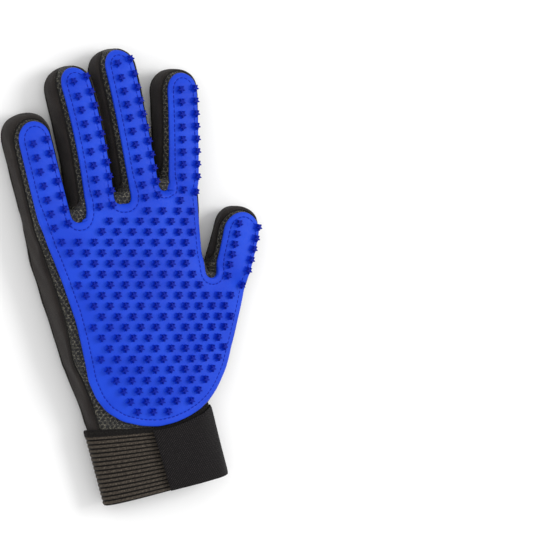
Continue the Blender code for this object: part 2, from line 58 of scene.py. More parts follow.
# lean is degrees toward -X at the base and at the tip, rows is (first, pitch, count) along the finger,
# bends is (start, end) of the fabric that bends at each joint, and cuts is where one piece ends
FINGERS = {
    "pinky": dict(base=(-59.3, 147.3), lean=(15, 13.5), length=56.4, wide=(11.9, 12.6), tall=(10.6, 9.2),
                  pad=8.4, pad_short=5.0, rows=(3.9, 7.4, 6), columns=7.4, aside=1.0,
                  bends=((6, 14.6), (15.4, 29.4), (30.2, 44)), cuts=(6, 15, 29.8)),
    "ring": dict(base=(-34.7, 157.7), lean=(6.5, 18), length=70.2, wide=(11.9, 12.6), tall=(11.2, 9.4),
                 pad=7.6, pad_short=1.8, rows=(3.65, 7.3, 9), columns=7.2, aside=1.6,
                 bends=((3.5, 15), (21, 37.4), (43, 59)), cuts=(3.5, 18, 40)),
    "middle": dict(base=(-8.7, 162.6), lean=(9.5, 14), length=75.0, wide=(11.4, 12.4), tall=(11.2, 9.4),
                   pad=7.6, pad_short=1.8, rows=(3.55, 7.05, 10), columns=7.2, aside=1.6,
                   bends=((4.5, 15.5), (20.4, 36), (41.6, 57)), cuts=(4.5, 18, 38.8)),
    "index": dict(base=(14.4, 166.8), lean=(-2, 3), length=60.0, wide=(11.0, 12.0), tall=(10.9, 9.4),
                  pad=7.8, pad_short=3.2, rows=(3.25, 6.5, 8), columns=7.4, aside=1.6,
                  bends=((1.5, 10.5), (11.6, 27.4), (31, 47)), cuts=(1.5, 11, 29)),
    "thumb": dict(base=(45.4, 120.6), lean=(-19, -10), length=36.0, wide=(12.4, 11.6), tall=(8.2, 7.6),
                  pad=9.4, pad_short=4.0, rows=(3.0, 5.65, 5), columns=10.4, aside=1.4,
                  bends=((3, 9.5), (10.4, 23.8)), cuts=(3, 10)),
}
LABELS = ("base", "mid", "tip")
ROUND = 2.8

PALM = np.array([
    (0.00, -34.8, 34.4, 20.9), (0.10, -38.8, 41.0, 22.0), (0.20, -43.5, 46.0, 23.4),
    (0.30, -48.0, 50.0, 24.4), (0.40, -51.5, 52.8, 25.0), (0.50, -55.1, 55.6, 25.2),
    (0.53, -56.2, 56.6, 25.2), (0.61, -59.2, 29.8, 25.1), (0.70, -62.3, 28.5, 24.9),
    (0.85, -67.5, 27.6, 24.3), (1.00, -72.4, 27.2, 23.6),
])
KNUCKLES = np.array([(-75, 142.3), (-47.2, 149.8), (-46.0, 155.4), (-22.8, 158.0), (-20.2, 159.8),
                     (2.6, 163.6), (3.4, 166.3), (30, 165.4)])
WRIST = np.array([(-34.4, 38.4), (0, 40.6), (12, 43.4), (24, 48.2), (35, 53.8)])

PAD_LITTLE = [(-67.4, 145.1), (-66.0, 141.5), (-63.4, 134), (-60.4, 127), (-56.2, 116.5),
              (-52, 106), (-48.2, 95.7), (-45.2, 85.3), (-42.5, 75), (-39.6, 64.5), (-34.6, 55),
              (-29.0, 48.6), (-20.6, 43.6), (-10, 41.2)]
PAD_HEEL = [(0, 40.7), (9, 42.4), (17.5, 45.6), (24.6, 49.6), (30.6, 54.4)]
PAD_THUMB = [(35.6, 60.6), (40.8, 70), (44.8, 80), (48, 90.5), (51.2, 101), (53.6, 110)]
PAD_INDEX = [(26.6, 122.5), (25.2, 132), (24.2, 142), (23.2, 154)]
SLOTS = {"pinky": 145.0, "ring": 154.6, "middle": 161.6}
THUMB_SLOT, SLOT_REACH = 117.4, 6.5
NEIGHBOURS = (("pinky", "ring"), ("ring", "middle"), ("middle", "index"))

NUB_ROW, NUB_PITCH, NUB_START, NUB_MARGIN = 5.45, 8.75, (-22.2, 103.2), 5.9
NUB_ROWS, NUB_GAP, NUB_TIP, THUMB_BACK = range(-13, 12), 5.2, 5, 3.2
PAD_TOP = 2.1
VOXEL = 0.8

CUFF_MOUTH, CUFF_TOP = (9.1, 7.6), (-1.2, 38.2)
CUFF_WIDE, CUFF_TALL, CUFF_LIFT, CUFF_WALL = 35.4, 9.0, 1.9, 1.6
RIBS, RIB_DEPTH = 16, 0.6
STRAP_HINGE, STRAP_END, STRAP_BACK = 52.0, 92.0, -128.0
STRAP_LIFT, STRAP_THICK = 2.45, 1.0
BEND_WIDE, HOOK_INSET, LOOP_INSET, END_INSET = 14, 9, 4, 3
CUFF_POWER, CUFF_LENGTH = 2.4, 34.0
PAD_UNDER, GROOVE_TOP = -0.5, 1.86
# a finger's surface takes over from the palm's from FADE_START before its base, over FADE_LENGTH
FADE_START, FADE_LENGTH, FINGER_NEAR, FINGER_POWER = 7, 10, 15, 2.3
PALM_PANELS = ("back_panel", "little_side", "thumb_gusset", "index_side",
               "web_little_ring", "web_ring_middle", "web_middle_index")
ON_PALM = -1

# the view looks down on VIEW_CENTRE, tilted toward the little finger's side, and is VIEW_WIDTH metres wide
VIEW_TILT, VIEW_CENTRE, VIEW_WIDTH = 28, (53.4, 123.5, 40.4), 0.27716
LENS, SENSOR = 300, 36
FLOOR_HALF, FLOOR_DROP, FLOOR_PAINT = 3.0, 0.0004, (0.93, 0.93, 0.93, 1)
SKY_STRENGTH, LIGHT_AIM = 0.72, (-0.02, 0.0, 0.01)


# small numeric helpers


def mix(a, b, t):
    return a + (b - a) * t


def clamp(a, low=0.0, high=1.0):
    return np.clip(a, low, high)


def smooth(t):
    t = clamp(t)
    return t * t * (3 - 2 * t)


def read(table, at, column=1):
    return np.interp(at, table[:, 0], table[:, column])


def root_curve(share, power):
    return (1 - np.minimum(np.abs(share), 1.0) ** power) ** (1 / power)


def ring_point(angle, power):
    c, s = np.cos(angle), np.sin(angle)
    return np.sign(c) * np.abs(c) ** (2 / power), np.sign(s) * np.abs(s) ** (2 / power)


def unit(v):
    return v / np.maximum(np.linalg.norm(v, axis=-1, keepdims=True), 1e-12)


def in_plan(points):
    """Points in plan, at height zero."""
    return np.column_stack([points, np.zeros(len(points))])


def to_row(point):
    """A point of the glove's layout in the row frame, in metres."""
    return tuple((np.array(point) + SHIFT) * MM)


def run_of(path):
    """Distance along a path, at each of its points."""
    return np.concatenate([[0], np.cumsum(np.linalg.norm(np.diff(path, axis=0), axis=1))])


def eased(path):
    """The same path, softened in place between its two ends."""
    for _ in range(3):
        path[1:-1] = (path[:-2] + 2 * path[1:-1] + path[2:]) / 4
    return path


def quads(rows, size, around=True, turned=False):
    """Faces over rows of points; turned ones look the other way."""
    r = np.arange(rows - 1)[:, None] * size
    c = np.arange(size if around else size - 1)
    d = (c + 1) % size
    faces = np.stack([r + c, r + d, r + size + d, r + size + c], -1).reshape(-1, 4)
    return (faces[:, [1, 0, 3, 2]] if turned else faces).tolist()


def fan(middle, size, first=0, turned=False):
    """Triangles from one point to a ring of points."""
    order = [(first + c, first + (c + 1) % size) for c in range(size)]
    return [[middle, b, a] if turned else [middle, a, b] for a, b in order]


# fingers


def finger_frame(f, s):
    low, high = np.radians(f["lean"])
    turn = (high - low) / f["length"]
    s = np.asarray(s, float)
    here, mean = low + turn * s, low + turn * s / 2
    x, y = f["base"]
    centre = np.stack([x - s * np.sin(mean), y + s * np.cos(mean)], -1)
    ahead = np.stack([-np.sin(here), np.cos(here)], -1)
    across = np.stack([np.cos(here), np.sin(here)], -1)
    return centre, ahead, across


def finger_size(f, s):
    t = clamp(s / f["length"])
    wide = mix(*f["wide"], np.sin(np.minimum(t * 1.25, 1) * np.pi / 2) ** 2)
    tall = mix(*f["tall"], t)
    lift = 0.6 + tall
    near = clamp((s - f["length"] + wide) / wide)
    shrink = np.maximum(1 - near ** FINGER_POWER, 0) ** (1 / FINGER_POWER)
    return wide * shrink, tall * shrink, lift


def finger_project(f, x, y):
    """Distance along a finger and across it, for points in plan."""
    point = np.stack([x, y], -1)
    s = np.zeros(len(point))
    for _ in range(5):
        centre, ahead, across = finger_frame(f, s)
        s = s + ((point - centre) * ahead).sum(-1)
    centre, ahead, across = finger_frame(f, s)
    return s, ((point - centre) * across).sum(-1)


def finger_plan(f, s, q):
    centre, _, across = finger_frame(f, s)
    return centre + across * np.asarray(q)[..., None]


def finger_share(s, q):
    """0 on the palm, rising to 1 on a finger."""
    return smooth((s + FADE_START) / FADE_LENGTH) * (np.abs(q) < FINGER_NEAR)


# palm


def palm_share(x, y):
    low, high = read(WRIST, x), read(KNUCKLES, x)
    return (y - low) / (high - low)


def palm_y(x, share):
    return mix(read(WRIST, x), read(KNUCKLES, x), share)


def palm_power(share):
    return mix(2.4, 4.5, clamp(share / 0.3))


def palm_ends(share, for_height=False):
    left, right = read(PALM, share, 1), read(PALM, share, 2)
    if for_height:
        web = (share > 0.53) & (share < 0.70)
        right = np.where(web, mix(57.0, 28.3, smooth((share - 0.60) / 0.10)), right)
    return left, right


def palm_span(share, for_height=False):
    """Middle and half width of the palm."""
    left, right = palm_ends(share, for_height)
    return (left + right) / 2, (right - left) / 2


def palm_middle(share):
    return mix(CUFF_LIFT + CUFF_TALL, 9.0, clamp(share / 0.3))


def palm_height(x, share):
    middle, half = palm_span(share, True)
    fall = 0.68 * (np.maximum(x, 0) / 50) ** 1.4 * clamp(share / 0.25)
    top = (read(PALM, share, 3) - palm_middle(share)) * (1 - fall)
    return palm_middle(share) + top * root_curve((x - middle) / half, palm_power(share))


def palm_floor(x, share):
    middle, half = palm_span(share)
    base = palm_middle(share)
    curve = root_curve((x - middle) / half, mix(2.4, 3.4, clamp(share / 0.3)))
    return np.maximum((base + 1.5) * (1 - curve) - 1.5, 0)


def surface(x, y):
    """Height of the fabric under the pad, over the palm and the fingers."""
    x, y = np.asarray(x, float), np.asarray(y, float)
    z = palm_height(x, clamp(palm_share(x, y)))
    for f in FINGERS.values():
        s, q = finger_project(f, x, y)
        wide, tall, lift = finger_size(f, s)
        share = clamp(q, -0.96 * wide, 0.96 * wide) / np.maximum(wide, 0.1)
        z = mix(z, lift + tall * root_curve(share, ROUND), finger_share(s, q))
    return z


def lifted(plan, lift):
    """Points over the fabric, raised along its normals, and those normals."""
    x, y = plan[:, 0], plan[:, 1]
    step = 0.6
    hx = (surface(x + step, y) - surface(x - step, y)) / (2 * step)
    hy = (surface(x, y + step) - surface(x, y - step)) / (2 * step)
    normal = unit(np.stack([-hx, -hy, np.ones_like(hx)], -1))
    return np.stack([x, y, surface(x, y)], -1) + normal * lift, normal


# edge of the silicone pad


def pad_corner(name, side):
    f = FINGERS[name]
    return tuple(finger_plan(f, np.array(0.0), np.array(side * f["pad"])))


def slot(start, end, bottom):
    middle, half = (start[0] + end[0]) / 2, (end[0] - start[0]) / 2
    points = []
    for k in range(17):
        across, down = ring_point(math.pi * (1 + k / 16), 3.0)
        level = mix(start[1], end[1], (1 + across) / 2)
        points.append((middle + half * across, level + (level - bottom) * down))
    return points


def slot_bottoms():
    """The middle of each slot's rounded bottom."""
    gaps = [(pad_corner(a, 1)[0], pad_corner(b, -1)[0], SLOTS[a]) for a, b in NEIGHBOURS]
    gaps.append((PAD_INDEX[0][0], pad_corner("thumb", -1)[0], THUMB_SLOT))
    return [((left + right) / 2, bottom + 3) for left, right, bottom in gaps]


def finger_edge(name):
    """Right side, tip and left side of a finger's pad."""
    f = FINGERS[name]
    half, turn = f["pad"], f["length"] - f["pad_short"] - f["pad"]
    line = [(half, s) for s in np.arange(1, turn, 2)]
    line += [(half * math.cos(a), turn + half * math.sin(a)) for a in np.linspace(0, math.pi, 17)]
    line += [(-half, s) for s in np.arange(1, turn, 2)[::-1]]
    q, s = np.array(line).T
    return [tuple(p) for p in finger_plan(f, s, q)]


def pad_edge():
    """The pad's closed edge with the width of mesh shown beside each point, anticlockwise."""
    line = []

    def add(points, widths):
        count = len(points)
        widths = np.interp(np.arange(count), np.linspace(0, count - 1, len(widths)), widths)
        line.extend((*p, w) for p, w in zip(points, widths))

    add(PAD_HEEL + PAD_THUMB, (12, 9, 4, 2.2, 1.8, 1.8))
    add(finger_edge("thumb"), (1.8, 2.2, 1.9))
    add(slot(PAD_INDEX[0], pad_corner("thumb", -1), THUMB_SLOT)[::-1], (2.0, 2.6, 2.2))
    add(PAD_INDEX[1:], (2.0,) * 2)
    add(finger_edge("index"), (2.0, 2.4, 2.4))
    for left, right in reversed(NEIGHBOURS):
        gap = slot(pad_corner(left, 1), pad_corner(right, -1), SLOTS[left])
        add(gap[::-1], (2.4, 2.4))
        add(finger_edge(left), (2.4, 2.4))
    add(PAD_LITTLE, (2.6, 3.0, 3.6, 4.2, 4.6, 5.0, 5.6, 7, 10, 12))
    return np.array(line)


def resample(points, step, rounds):
    """A closed line with even steps, rounded off a little."""
    ring = np.vstack([points, points[:1]])
    run = run_of(ring[:, :2])
    count = int(run[-1] / step)
    at = np.linspace(0, run[-1], count, endpoint=False)
    made = np.stack([np.interp(at, run, ring[:, k]) for k in range(ring.shape[1])], -1)
    for _ in range(rounds):
        made = (np.roll(made, 1, 0) + 2 * made + np.roll(made, -1, 0)) / 4
    return made


def inward(ring):
    """Unit normal into a closed anticlockwise line."""
    along = unit(np.roll(ring[:, :2], -1, 0) - np.roll(ring[:, :2], 1, 0))
    return np.stack([-along[:, 1], along[:, 0]], -1)


def inside(points, ring):
    found = np.zeros(len(points), bool)
    x, y = points[:, 0], points[:, 1]
    ends = np.roll(ring, -1, 0)
    for (x0, y0), (x1, y1) in zip(ring[:, :2], ends[:, :2]):
        if y0 == y1:
            continue
        hit = ((y0 > y) != (y1 > y)) & (x < x0 + (y - y0) * (x1 - x0) / (y1 - y0))
        found ^= hit
    return found


def nearest(tree_points, points):
    tree = KDTree(len(tree_points))
    for i, p in enumerate(tree_points):
        tree.insert(p, i)
    tree.balance()
    found = [tree.find(p) for p in points]
    return np.array([f[2] for f in found]), np.array([f[1] for f in found])


# meshes as arrays: points (n, 3), faces (m, 4) with -1 last in a triangle


class Shape:
    """Points, faces, a finish for each face, and the coordinates that the weaves follow."""

    def __init__(self, points, faces, finish, cloth=None, extra=None):
        self.points = np.asarray(points, float)
        if isinstance(faces, list):
            faces = [list(f) + [-1] * (4 - len(f)) for f in faces]
        self.faces = np.asarray(faces, int).reshape(-1, 4)
        self.finish = np.broadcast_to(finish, len(self.faces)).copy()
        self.cloth = self.points.copy() if cloth is None else np.asarray(cloth, float)
        self.extra = np.zeros(len(self.points)) if extra is None else np.asarray(extra, float)

    def centres(self):
        tri = self.faces[:, 3:] < 0
        fourth = np.where(tri, 0, self.points[self.faces[:, 3]])
        return (self.points[self.faces[:, :3]].sum(1) + fourth) / np.where(tri, 3, 4)


def joined(shapes):
    shift = np.cumsum([0] + [len(s.points) for s in shapes])
    faces = [np.where(s.faces < 0, -1, s.faces + k) for s, k in zip(shapes, shift)]
    return Shape(np.vstack([s.points for s in shapes]), np.vstack(faces),
                 np.concatenate([s.finish for s in shapes]),
                 np.vstack([s.cloth for s in shapes]), np.concatenate([s.extra for s in shapes]))


def face_lists(faces):
    return [f[:3] if f[3] < 0 else f for f in faces.tolist()]


def add_object(name, data):
    obj = bpy.data.objects.new(name, data)
    bpy.context.scene.collection.objects.link(obj)
    return obj


def values_of(items, name, kind=int, each=1):
    """One value of every point, corner or face of a mesh."""
    found = np.zeros(len(items) * each, kind)
    items.foreach_get(name, found)
    return found


def blender_mesh(name, shape):
    mesh = bpy.data.meshes.new(name)
    mesh.from_pydata(((shape.points + SHIFT) * MM).tolist(), [], face_lists(shape.faces))
    mesh.polygons.foreach_set("use_smooth", [True] * len(mesh.polygons))
    return mesh


def corner_normals(shape, crease):
    """A normal for each face corner, kept so that pieces cut from one surface meet without a line."""
    mesh = blender_mesh("whole", shape)
    if crease:
        mesh.set_sharp_from_angle(angle=math.radians(crease))
    made = np.zeros((len(shape.faces), 4, 3))
    made[shape.faces >= 0] = values_of(mesh.corner_normals, "vector", float, 3).reshape(-1, 3)
    bpy.data.meshes.remove(mesh)
    return made


def add_piece(name, shape, finishes, normals=None, crease=0):
    """One object from a shape, in the row frame."""
    mesh = blender_mesh(name, shape)
    for finish in finishes:
        mesh.materials.append(MATERIALS[finish])
    mesh.polygons.foreach_set("material_index", shape.finish.astype(np.int32))
    cloth = mesh.attributes.new("cloth", "FLOAT_VECTOR", "POINT")
    cloth.data.foreach_set("vector", shape.cloth.astype(np.float32).ravel())
    extra = mesh.attributes.new("extra", "FLOAT", "POINT")
    extra.data.foreach_set("value", shape.extra.astype(np.float32))
    if normals is not None:
        mesh.normals_split_custom_set(normals[shape.faces >= 0].tolist())
    elif crease:
        mesh.set_sharp_from_angle(angle=math.radians(crease))
    return add_object(name, mesh)


def part_of(shape, normals, mask):
    faces = shape.faces[mask]
    used = np.unique(faces[faces >= 0])
    place = np.full(len(shape.points), -1)
    place[used] = np.arange(len(used))
    made = np.where(faces >= 0, place[faces], -1)
    cut = Shape(shape.points[used], made, shape.finish[mask], shape.cloth[used], shape.extra[used])
    return cut, normals[mask]


# which finger piece a point in plan belongs to

NAMES = list(FINGERS)


def region(x, y):
    """-1 for the palm, or 10 times the finger's number plus its piece's number."""
    best = np.full(len(x), 16.0)
    found = np.full(len(x), -1)
    for i, name in enumerate(NAMES):
        f = FINGERS[name]
        s, q = finger_project(f, x, y)
        piece = np.searchsorted(f["cuts"], s, side="right") - 1
        take = (piece >= 0) & (np.abs(q) < best) & (s < f["length"] + 12)
        found[take] = 10 * i + piece[take]
        best[take] = np.abs(q)[take]
    return found


def label_of(code):
    """The body named in a region's pieces and in the parts they replace."""
    if code < 0:
        return "palm"
    name = NAMES[code // 10]
    labels = LABELS[1:] if name == "thumb" else LABELS
    return f"{name}_{labels[code % 10]}"


def hold(obj, code, replaced):
    """Rides a piece on the palm, or leaves it fixed where it was built, and hides the parts it replaces."""
    if code < 0:
        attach(obj, "palm")
    else:
        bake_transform(obj)
    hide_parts(*replaced)


# materials


def colour(r, g, b):
    """Linear colour from screen values."""
    return tuple(((c / 255 + 0.055) / 1.055) ** 2.4 if c > 10 else c / 255 / 12.92 for c in (r, g, b)) + (1,)


class Finish:
    """A Principled material and short ways to add nodes to it."""

    def __init__(self, name, base, rough, sheen=0.0, specular=0.5):
        self.material = bpy.data.materials.new(name)
        self.material.use_nodes = True
        self.tree = self.material.node_tree
        self.shader = self.tree.nodes["Principled BSDF"]
        self.shader.inputs["Base Color"].default_value = base
        self.shader.inputs["Roughness"].default_value = rough
        self.shader.inputs["Specular IOR Level"].default_value = specular
        if sheen:
            self.shader.inputs["Sheen Weight"].default_value = sheen
            self.shader.inputs["Sheen Roughness"].default_value = 0.5
        self.material.diffuse_color = base

    def node(self, kind, inputs=(), **settings):
        made = self.tree.nodes.new(kind)
        for key, value in settings.items():
            setattr(made, key, value)
        for key, value in dict(inputs).items():
            self.put(made.inputs[key], value)
        return made

    def put(self, socket, value):
        if isinstance(value, bpy.types.NodeSocket):
            self.tree.links.new(value, socket)
        else:
            socket.default_value = value

    def math(self, operation, *values):
        return self.node("ShaderNodeMath", enumerate(values), operation=operation).outputs[0]

    def times(self, a, b):
        return self.math("MULTIPLY", a, b)

    def plus(self, a, b):
        return self.math("ADD", a, b)

    def range(self, value, low, high, to_low=0.0, to_high=1.0):
        inputs = {"Value": value, "From Min": low, "From Max": high, "To Min": to_low, "To Max": to_high}
        return self.node("ShaderNodeMapRange", inputs, interpolation_type="SMOOTHSTEP").outputs[0]

    def cloth(self):
        """Millimetres across, along and deep."""
        split = self.node("ShaderNodeSeparateXYZ", {"Vector": self.attribute("cloth").outputs["Vector"]})
        return tuple(split.outputs)

    def attribute(self, name):
        return self.node("ShaderNodeAttribute", attribute_name=name)

    def noise(self, scale, detail=3.0, stretch=(1, 1, 1)):
        """Noise from 0 to 1; scale is per millimetre."""
        place = self.attribute("cloth").outputs["Vector"]
        spread = self.node("ShaderNodeVectorMath", {0: place, 1: stretch}, operation="MULTIPLY")
        inputs = {"Vector": spread.outputs[0], "Scale": scale, "Detail": detail}
        made = self.node("ShaderNodeTexNoise", inputs)
        return made.outputs["Fac"]

    def wave(self, value, pitch):
        """A sine from 0 to 1."""
        turned = self.math("SINE", self.times(value, math.tau / pitch))
        return self.math("MULTIPLY_ADD", turned, 0.5, 0.5)

    def blend(self, share, low, high):
        made = self.node("ShaderNodeMix", data_type="RGBA")
        for socket, value in ((0, share), (6, low), (7, high)):
            self.put(made.inputs[socket], value)
        return made.outputs[2]

    def base(self, value):
        self.put(self.shader.inputs["Base Color"], value)

    def rough(self, value):
        self.put(self.shader.inputs["Roughness"], value)

    def bump(self, height, distance, strength=1.0, below=None):
        """distance is in millimetres."""
        inputs = {"Height": height, "Distance": distance * MM, "Strength": strength}
        made = self.node("ShaderNodeBump", inputs)
        if below is not None:
            self.put(made.inputs["Normal"], below)
        self.put(self.shader.inputs["Normal"], made.outputs[0])
        return made.outputs[0]


MATERIALS = {}


def silicone(name, low, high, rough):
    """Moulded silicone: faint mottling, a fine satin grain and duller high spots."""
    f = Finish(name, high, rough, specular=0.2)
    cloud = f.noise(0.045, 2)
    f.base(f.blend(f.range(cloud, 0.3, 0.7), low, high))
    f.rough(f.range(f.noise(0.9, 4), 0.3, 0.7, rough - 0.06, rough + 0.08))
    f.bump(f.noise(5.0, 3), 0.02, 0.6)
    return f.material


def nubs(low, high):
    """The same silicone with painted shade: each star darkens toward its tip, though its own colour is the
    pad's.
    """
    f = Finish("silicone_nubs_painted_shade", high, 0.6, specular=0.12)
    # painted shade: tip rises up each star and blends the base toward the darker colour
    tip = f.range(f.attribute("extra").outputs["Fac"], 0.0, 1.0)
    cloud = f.range(f.noise(0.4, 2), 0.3, 0.7, 0.85, 1.0)
    f.base(f.blend(f.times(tip, cloud), low, high))
    f.bump(f.noise(5.0, 3), 0.02, 0.6)
    return f.material


def air_mesh_painted_gloss():
    """Knitted mesh with staggered oval holes between olive threads, whose palest flecks along each twist are
    painted highlight for their gloss.
    """
    f = Finish("air_mesh_painted_gloss", colour(48, 46, 39), 0.7, sheen=0.05)
    u, v, _ = f.cloth()
    pitch_u, pitch_v = 2.5, 1.9
    row = f.math("FLOOR", f.math("DIVIDE", v, pitch_v))
    half = f.times(f.math("FLOORED_MODULO", row, 2.0), 0.5)
    jitter = f.times(f.noise(0.8, 1), 0.35)
    across = f.plus(f.plus(f.math("DIVIDE", u, pitch_u), half), jitter)
    cell_u = f.math("SUBTRACT", f.math("FRACT", across), 0.5)
    cell_v = f.math("SUBTRACT", f.math("FRACT", f.math("DIVIDE", v, pitch_v)), 0.5)
    far_u = f.math("POWER", f.times(cell_u, 3.0), 2.0)
    far_v = f.math("POWER", f.times(cell_v, 2.4), 2.0)
    far = f.math("SQRT", f.plus(far_u, far_v))
    hole = f.range(far, 0.8, 1.15, 1.0, 0.0)
    twist = f.wave(f.plus(u, f.times(v, 0.7)), 0.42)
    speck = f.range(f.noise(1.6, 2), 0.44, 0.68)
    # the threads' olive tone is the yarn's own; the pale flecks where twist and speck meet are painted
    # highlight
    thread = f.blend(f.times(twist, speck), colour(16, 15, 12), colour(158, 153, 134))
    f.base(f.blend(hole, thread, colour(4, 4, 4)))
    height = f.math("SUBTRACT", f.times(twist, 0.25), hole)
    f.bump(height, 0.55)
    return f.material


def stretch():
    """Brushed knit with fine wales, a soft sheen and slight fading."""
    f = Finish("stretch_knit", colour(36, 33, 32), 0.9, sheen=0.06, specular=0.15)
    u, v, _ = f.cloth()
    wale = f.times(f.wave(u, 0.62), f.wave(f.plus(v, f.times(u, 0.5)), 0.5))
    fuzz = f.noise(3.2, 3)
    worn = f.range(f.noise(0.07, 3), 0.35, 0.68)
    base = f.blend(worn, colour(31, 27, 27), colour(42, 38, 36))
    f.base(f.blend(f.times(f.range(fuzz, 0.35, 0.75), 0.6), base, colour(58, 53, 50)))
    f.bump(f.plus(wale, f.times(fuzz, 1.2)), 0.11)
    return f.material


def elastic():
    """Ribbed elastic: pale crests of spun yarn and cross threads, with painted shade that turns the grooves
    near black.
    """
    f = Finish("ribbed_elastic_painted_shade", colour(44, 39, 34), 0.85, sheen=0.05, specular=0.15)
    u, _, _ = f.cloth()
    crest = f.attribute("extra").outputs["Fac"]
    yarn = f.wave(f.plus(u, f.times(f.noise(0.9, 2), 1.4)), 0.8)
    fleck = f.range(f.noise(1.4, 3, (0.35, 1.6, 1.6)), 0.3, 0.75)
    light = f.blend(f.times(yarn, fleck), colour(50, 44, 39), colour(108, 99, 87))
    # painted shade: the colour falls to near black as the crest value drops into each groove
    f.base(f.blend(f.range(crest, 0.35, 0.95), colour(4, 3, 3), light))
    f.bump(f.plus(f.times(yarn, 0.6), fleck), 0.12)
    return f.material


def tape(name, dark, light, pitch, lean):
    """Close woven tape with a diagonal twill and scattered bright threads."""
    f = Finish(name, dark, 0.8, sheen=0.03, specular=0.15)
    u, v, _ = f.cloth()
    twill = f.wave(f.plus(u, f.times(v, lean)), pitch)
    cross = f.wave(f.math("SUBTRACT", v, f.times(u, 0.6)), pitch * 0.8)
    speck = f.range(f.noise(1.5, 3), 0.44, 0.7)
    faint = f.math("MULTIPLY_ADD", cross, 0.5, 0.5)
    share = f.times(faint, f.math("MULTIPLY_ADD", speck, 0.7, 0.3))
    f.base(f.blend(f.times(f.math("POWER", twill, 1.6), share), dark, light))
    f.bump(f.plus(twill, f.times(cross, 0.5)), 0.16)
    return f.material


def fastener(name, base, light, pitch, distance):
    """Loops or hooks: rows of small bright knots over a dark ground."""
    f = Finish(name, base, 0.8, sheen=0.4 if name == "loop_pile" else 0.0)
    u, v, _ = f.cloth()
    knot = f.times(f.wave(u, pitch), f.wave(v, pitch))
    fuzz = f.noise(2.4, 4)
    height = f.plus(knot, fuzz) if name == "loop_pile" else knot
    f.base(f.blend(f.times(f.range(knot, 0.3, 0.9), fuzz), base, light))
    f.bump(height, distance)
    return f.material


def make_materials():
    MATERIALS["silicone"] = silicone("silicone_pad", colour(15, 60, 198), colour(22, 70, 209), 0.55)
    # the nubs' second colour is painted shade for the star tops; their silicone is the pad's blue
    MATERIALS["nub"] = nubs(colour(10, 54, 196), colour(1, 24, 142))
    MATERIALS["blue_thread"] = silicone("blue_stitching", colour(2, 30, 150), colour(6, 38, 165), 0.7)
    MATERIALS["mesh"] = air_mesh_painted_gloss()
    MATERIALS["stretch"] = stretch()
    MATERIALS["seam"] = tape("seam_piping", colour(20, 18, 17), colour(52, 48, 44), 0.7, 1.0)
    MATERIALS["elastic"] = elastic()
    MATERIALS["webbing"] = tape("strap_weave", colour(4, 3, 4), colour(60, 55, 55), 1.45, 1.1)
    MATERIALS["binding"] = tape("wrist_binding_weave", colour(13, 11, 11), colour(46, 43, 38), 0.8, 0.4)
    MATERIALS["loop"] = fastener("loop_pile", colour(16, 15, 15), colour(52, 50, 48), 0.9, 0.4)
    MATERIALS["hook"] = fastener("hook_stems", colour(20, 20, 20), colour(90, 90, 90), 1.3, 0.5)


# fabric skin


def finger_tube(f):
    """A finger from inside the palm to its tip, with closer rings over the nose."""
    nose, sides = 13, 48
    body = np.arange(-18, f["length"] - nose, 2.0)
    stations = np.append(body, f["length"] - nose * np.cos(np.linspace(0, math.pi / 2, 14)) ** 1.4)
    stations[-1] -= 0.02
    angles = np.linspace(0, math.tau, sides, endpoint=False)
    across, up = ring_point(angles, ROUND)
    points = []
    for s in stations:
        wide, tall, lift = finger_size(f, s)
        plan = finger_plan(f, np.full(sides, s), wide * across)
        points.append(np.column_stack([plan, np.maximum(lift + tall * up, 0.6)]))
    return loft(points)


def loft(rings):
    """A closed shape through rings, capped at both ends."""
    rows, size = len(rings), len(rings[0])
    points = np.vstack([*rings, rings[0].mean(0), rings[-1].mean(0)])
    faces = quads(rows, size, turned=True) + fan(rows * size, size)
    return points, faces + fan(rows * size + 1, size, (rows - 1) * size, turned=True)


def palm_ring(share, inset, count=60):
    left, right = palm_ends(share)
    left = left + 0.6 + 2.6 * smooth((share - 0.8) / 0.2)
    middle, half = (left + right) / 2, (right - left) / 2 - inset
    q = np.sin(np.linspace(-math.pi / 2, math.pi / 2, count))
    x, outer = middle + half * q, middle + (half + inset) * q
    y = palm_y(outer, share)
    top = palm_height(outer, share) - inset
    low = np.minimum(palm_floor(outer, share) + inset, top - 0.4)
    upper, lower = (np.column_stack([x, y, z]) for z in (top, low))
    return np.vstack([upper, lower[::-1]])[::-1]


def palm_hull():
    """The palm, open at the wrist and hollow for the hand."""
    rings = [palm_ring(s, 2.4) for s in np.linspace(0.62, 0.0, 14)]
    rings += [palm_ring(s, 0.0) for s in np.linspace(-0.004, 1.02, 60)]
    rings.append(palm_ring(1.03, 3.0))
    return loft(rings)


def voxel_union(shapes):
    """One closed skin round all the shapes."""
    points, faces, shift = [], [], 0
    for p, f in shapes:
        points.append(p)
        faces += [[i + shift for i in face] for face in f]
        shift += len(p)
    mesh = bpy.data.meshes.new("union")
    mesh.from_pydata(np.vstack(points).tolist(), [], faces)
    obj = add_object("union", mesh)
    changed = obj.modifiers.new("voxel", "REMESH")
    changed.mode, changed.voxel_size, changed.adaptivity = "VOXEL", VOXEL, 0.0
    made = obj.evaluated_get(bpy.context.evaluated_depsgraph_get()).to_mesh()
    places = values_of(made.vertices, "co", float, 3).reshape(-1, 3)
    corners = values_of(made.loops, "vertex_index")
    starts = values_of(made.polygons, "loop_start")
    totals = values_of(made.polygons, "loop_total")
    skin = np.full((len(starts), 4), -1)
    for k in range(4):
        has = totals > k
        skin[has, k] = corners[starts[has] + k]
    bpy.data.objects.remove(obj)
    bpy.data.meshes.remove(mesh)
    return places, skin


def edges_of(faces):
    last = np.where(faces[:, 3] < 0, faces[:, 0], faces[:, 3])
    pairs = np.vstack([faces[:, :2], faces[:, 1:3], np.column_stack([faces[:, 2], last]),
                       np.column_stack([last, faces[:, 0]])])
    pairs = np.sort(pairs[pairs[:, 0] != pairs[:, 1]], axis=1)
    return np.unique(pairs, axis=0)


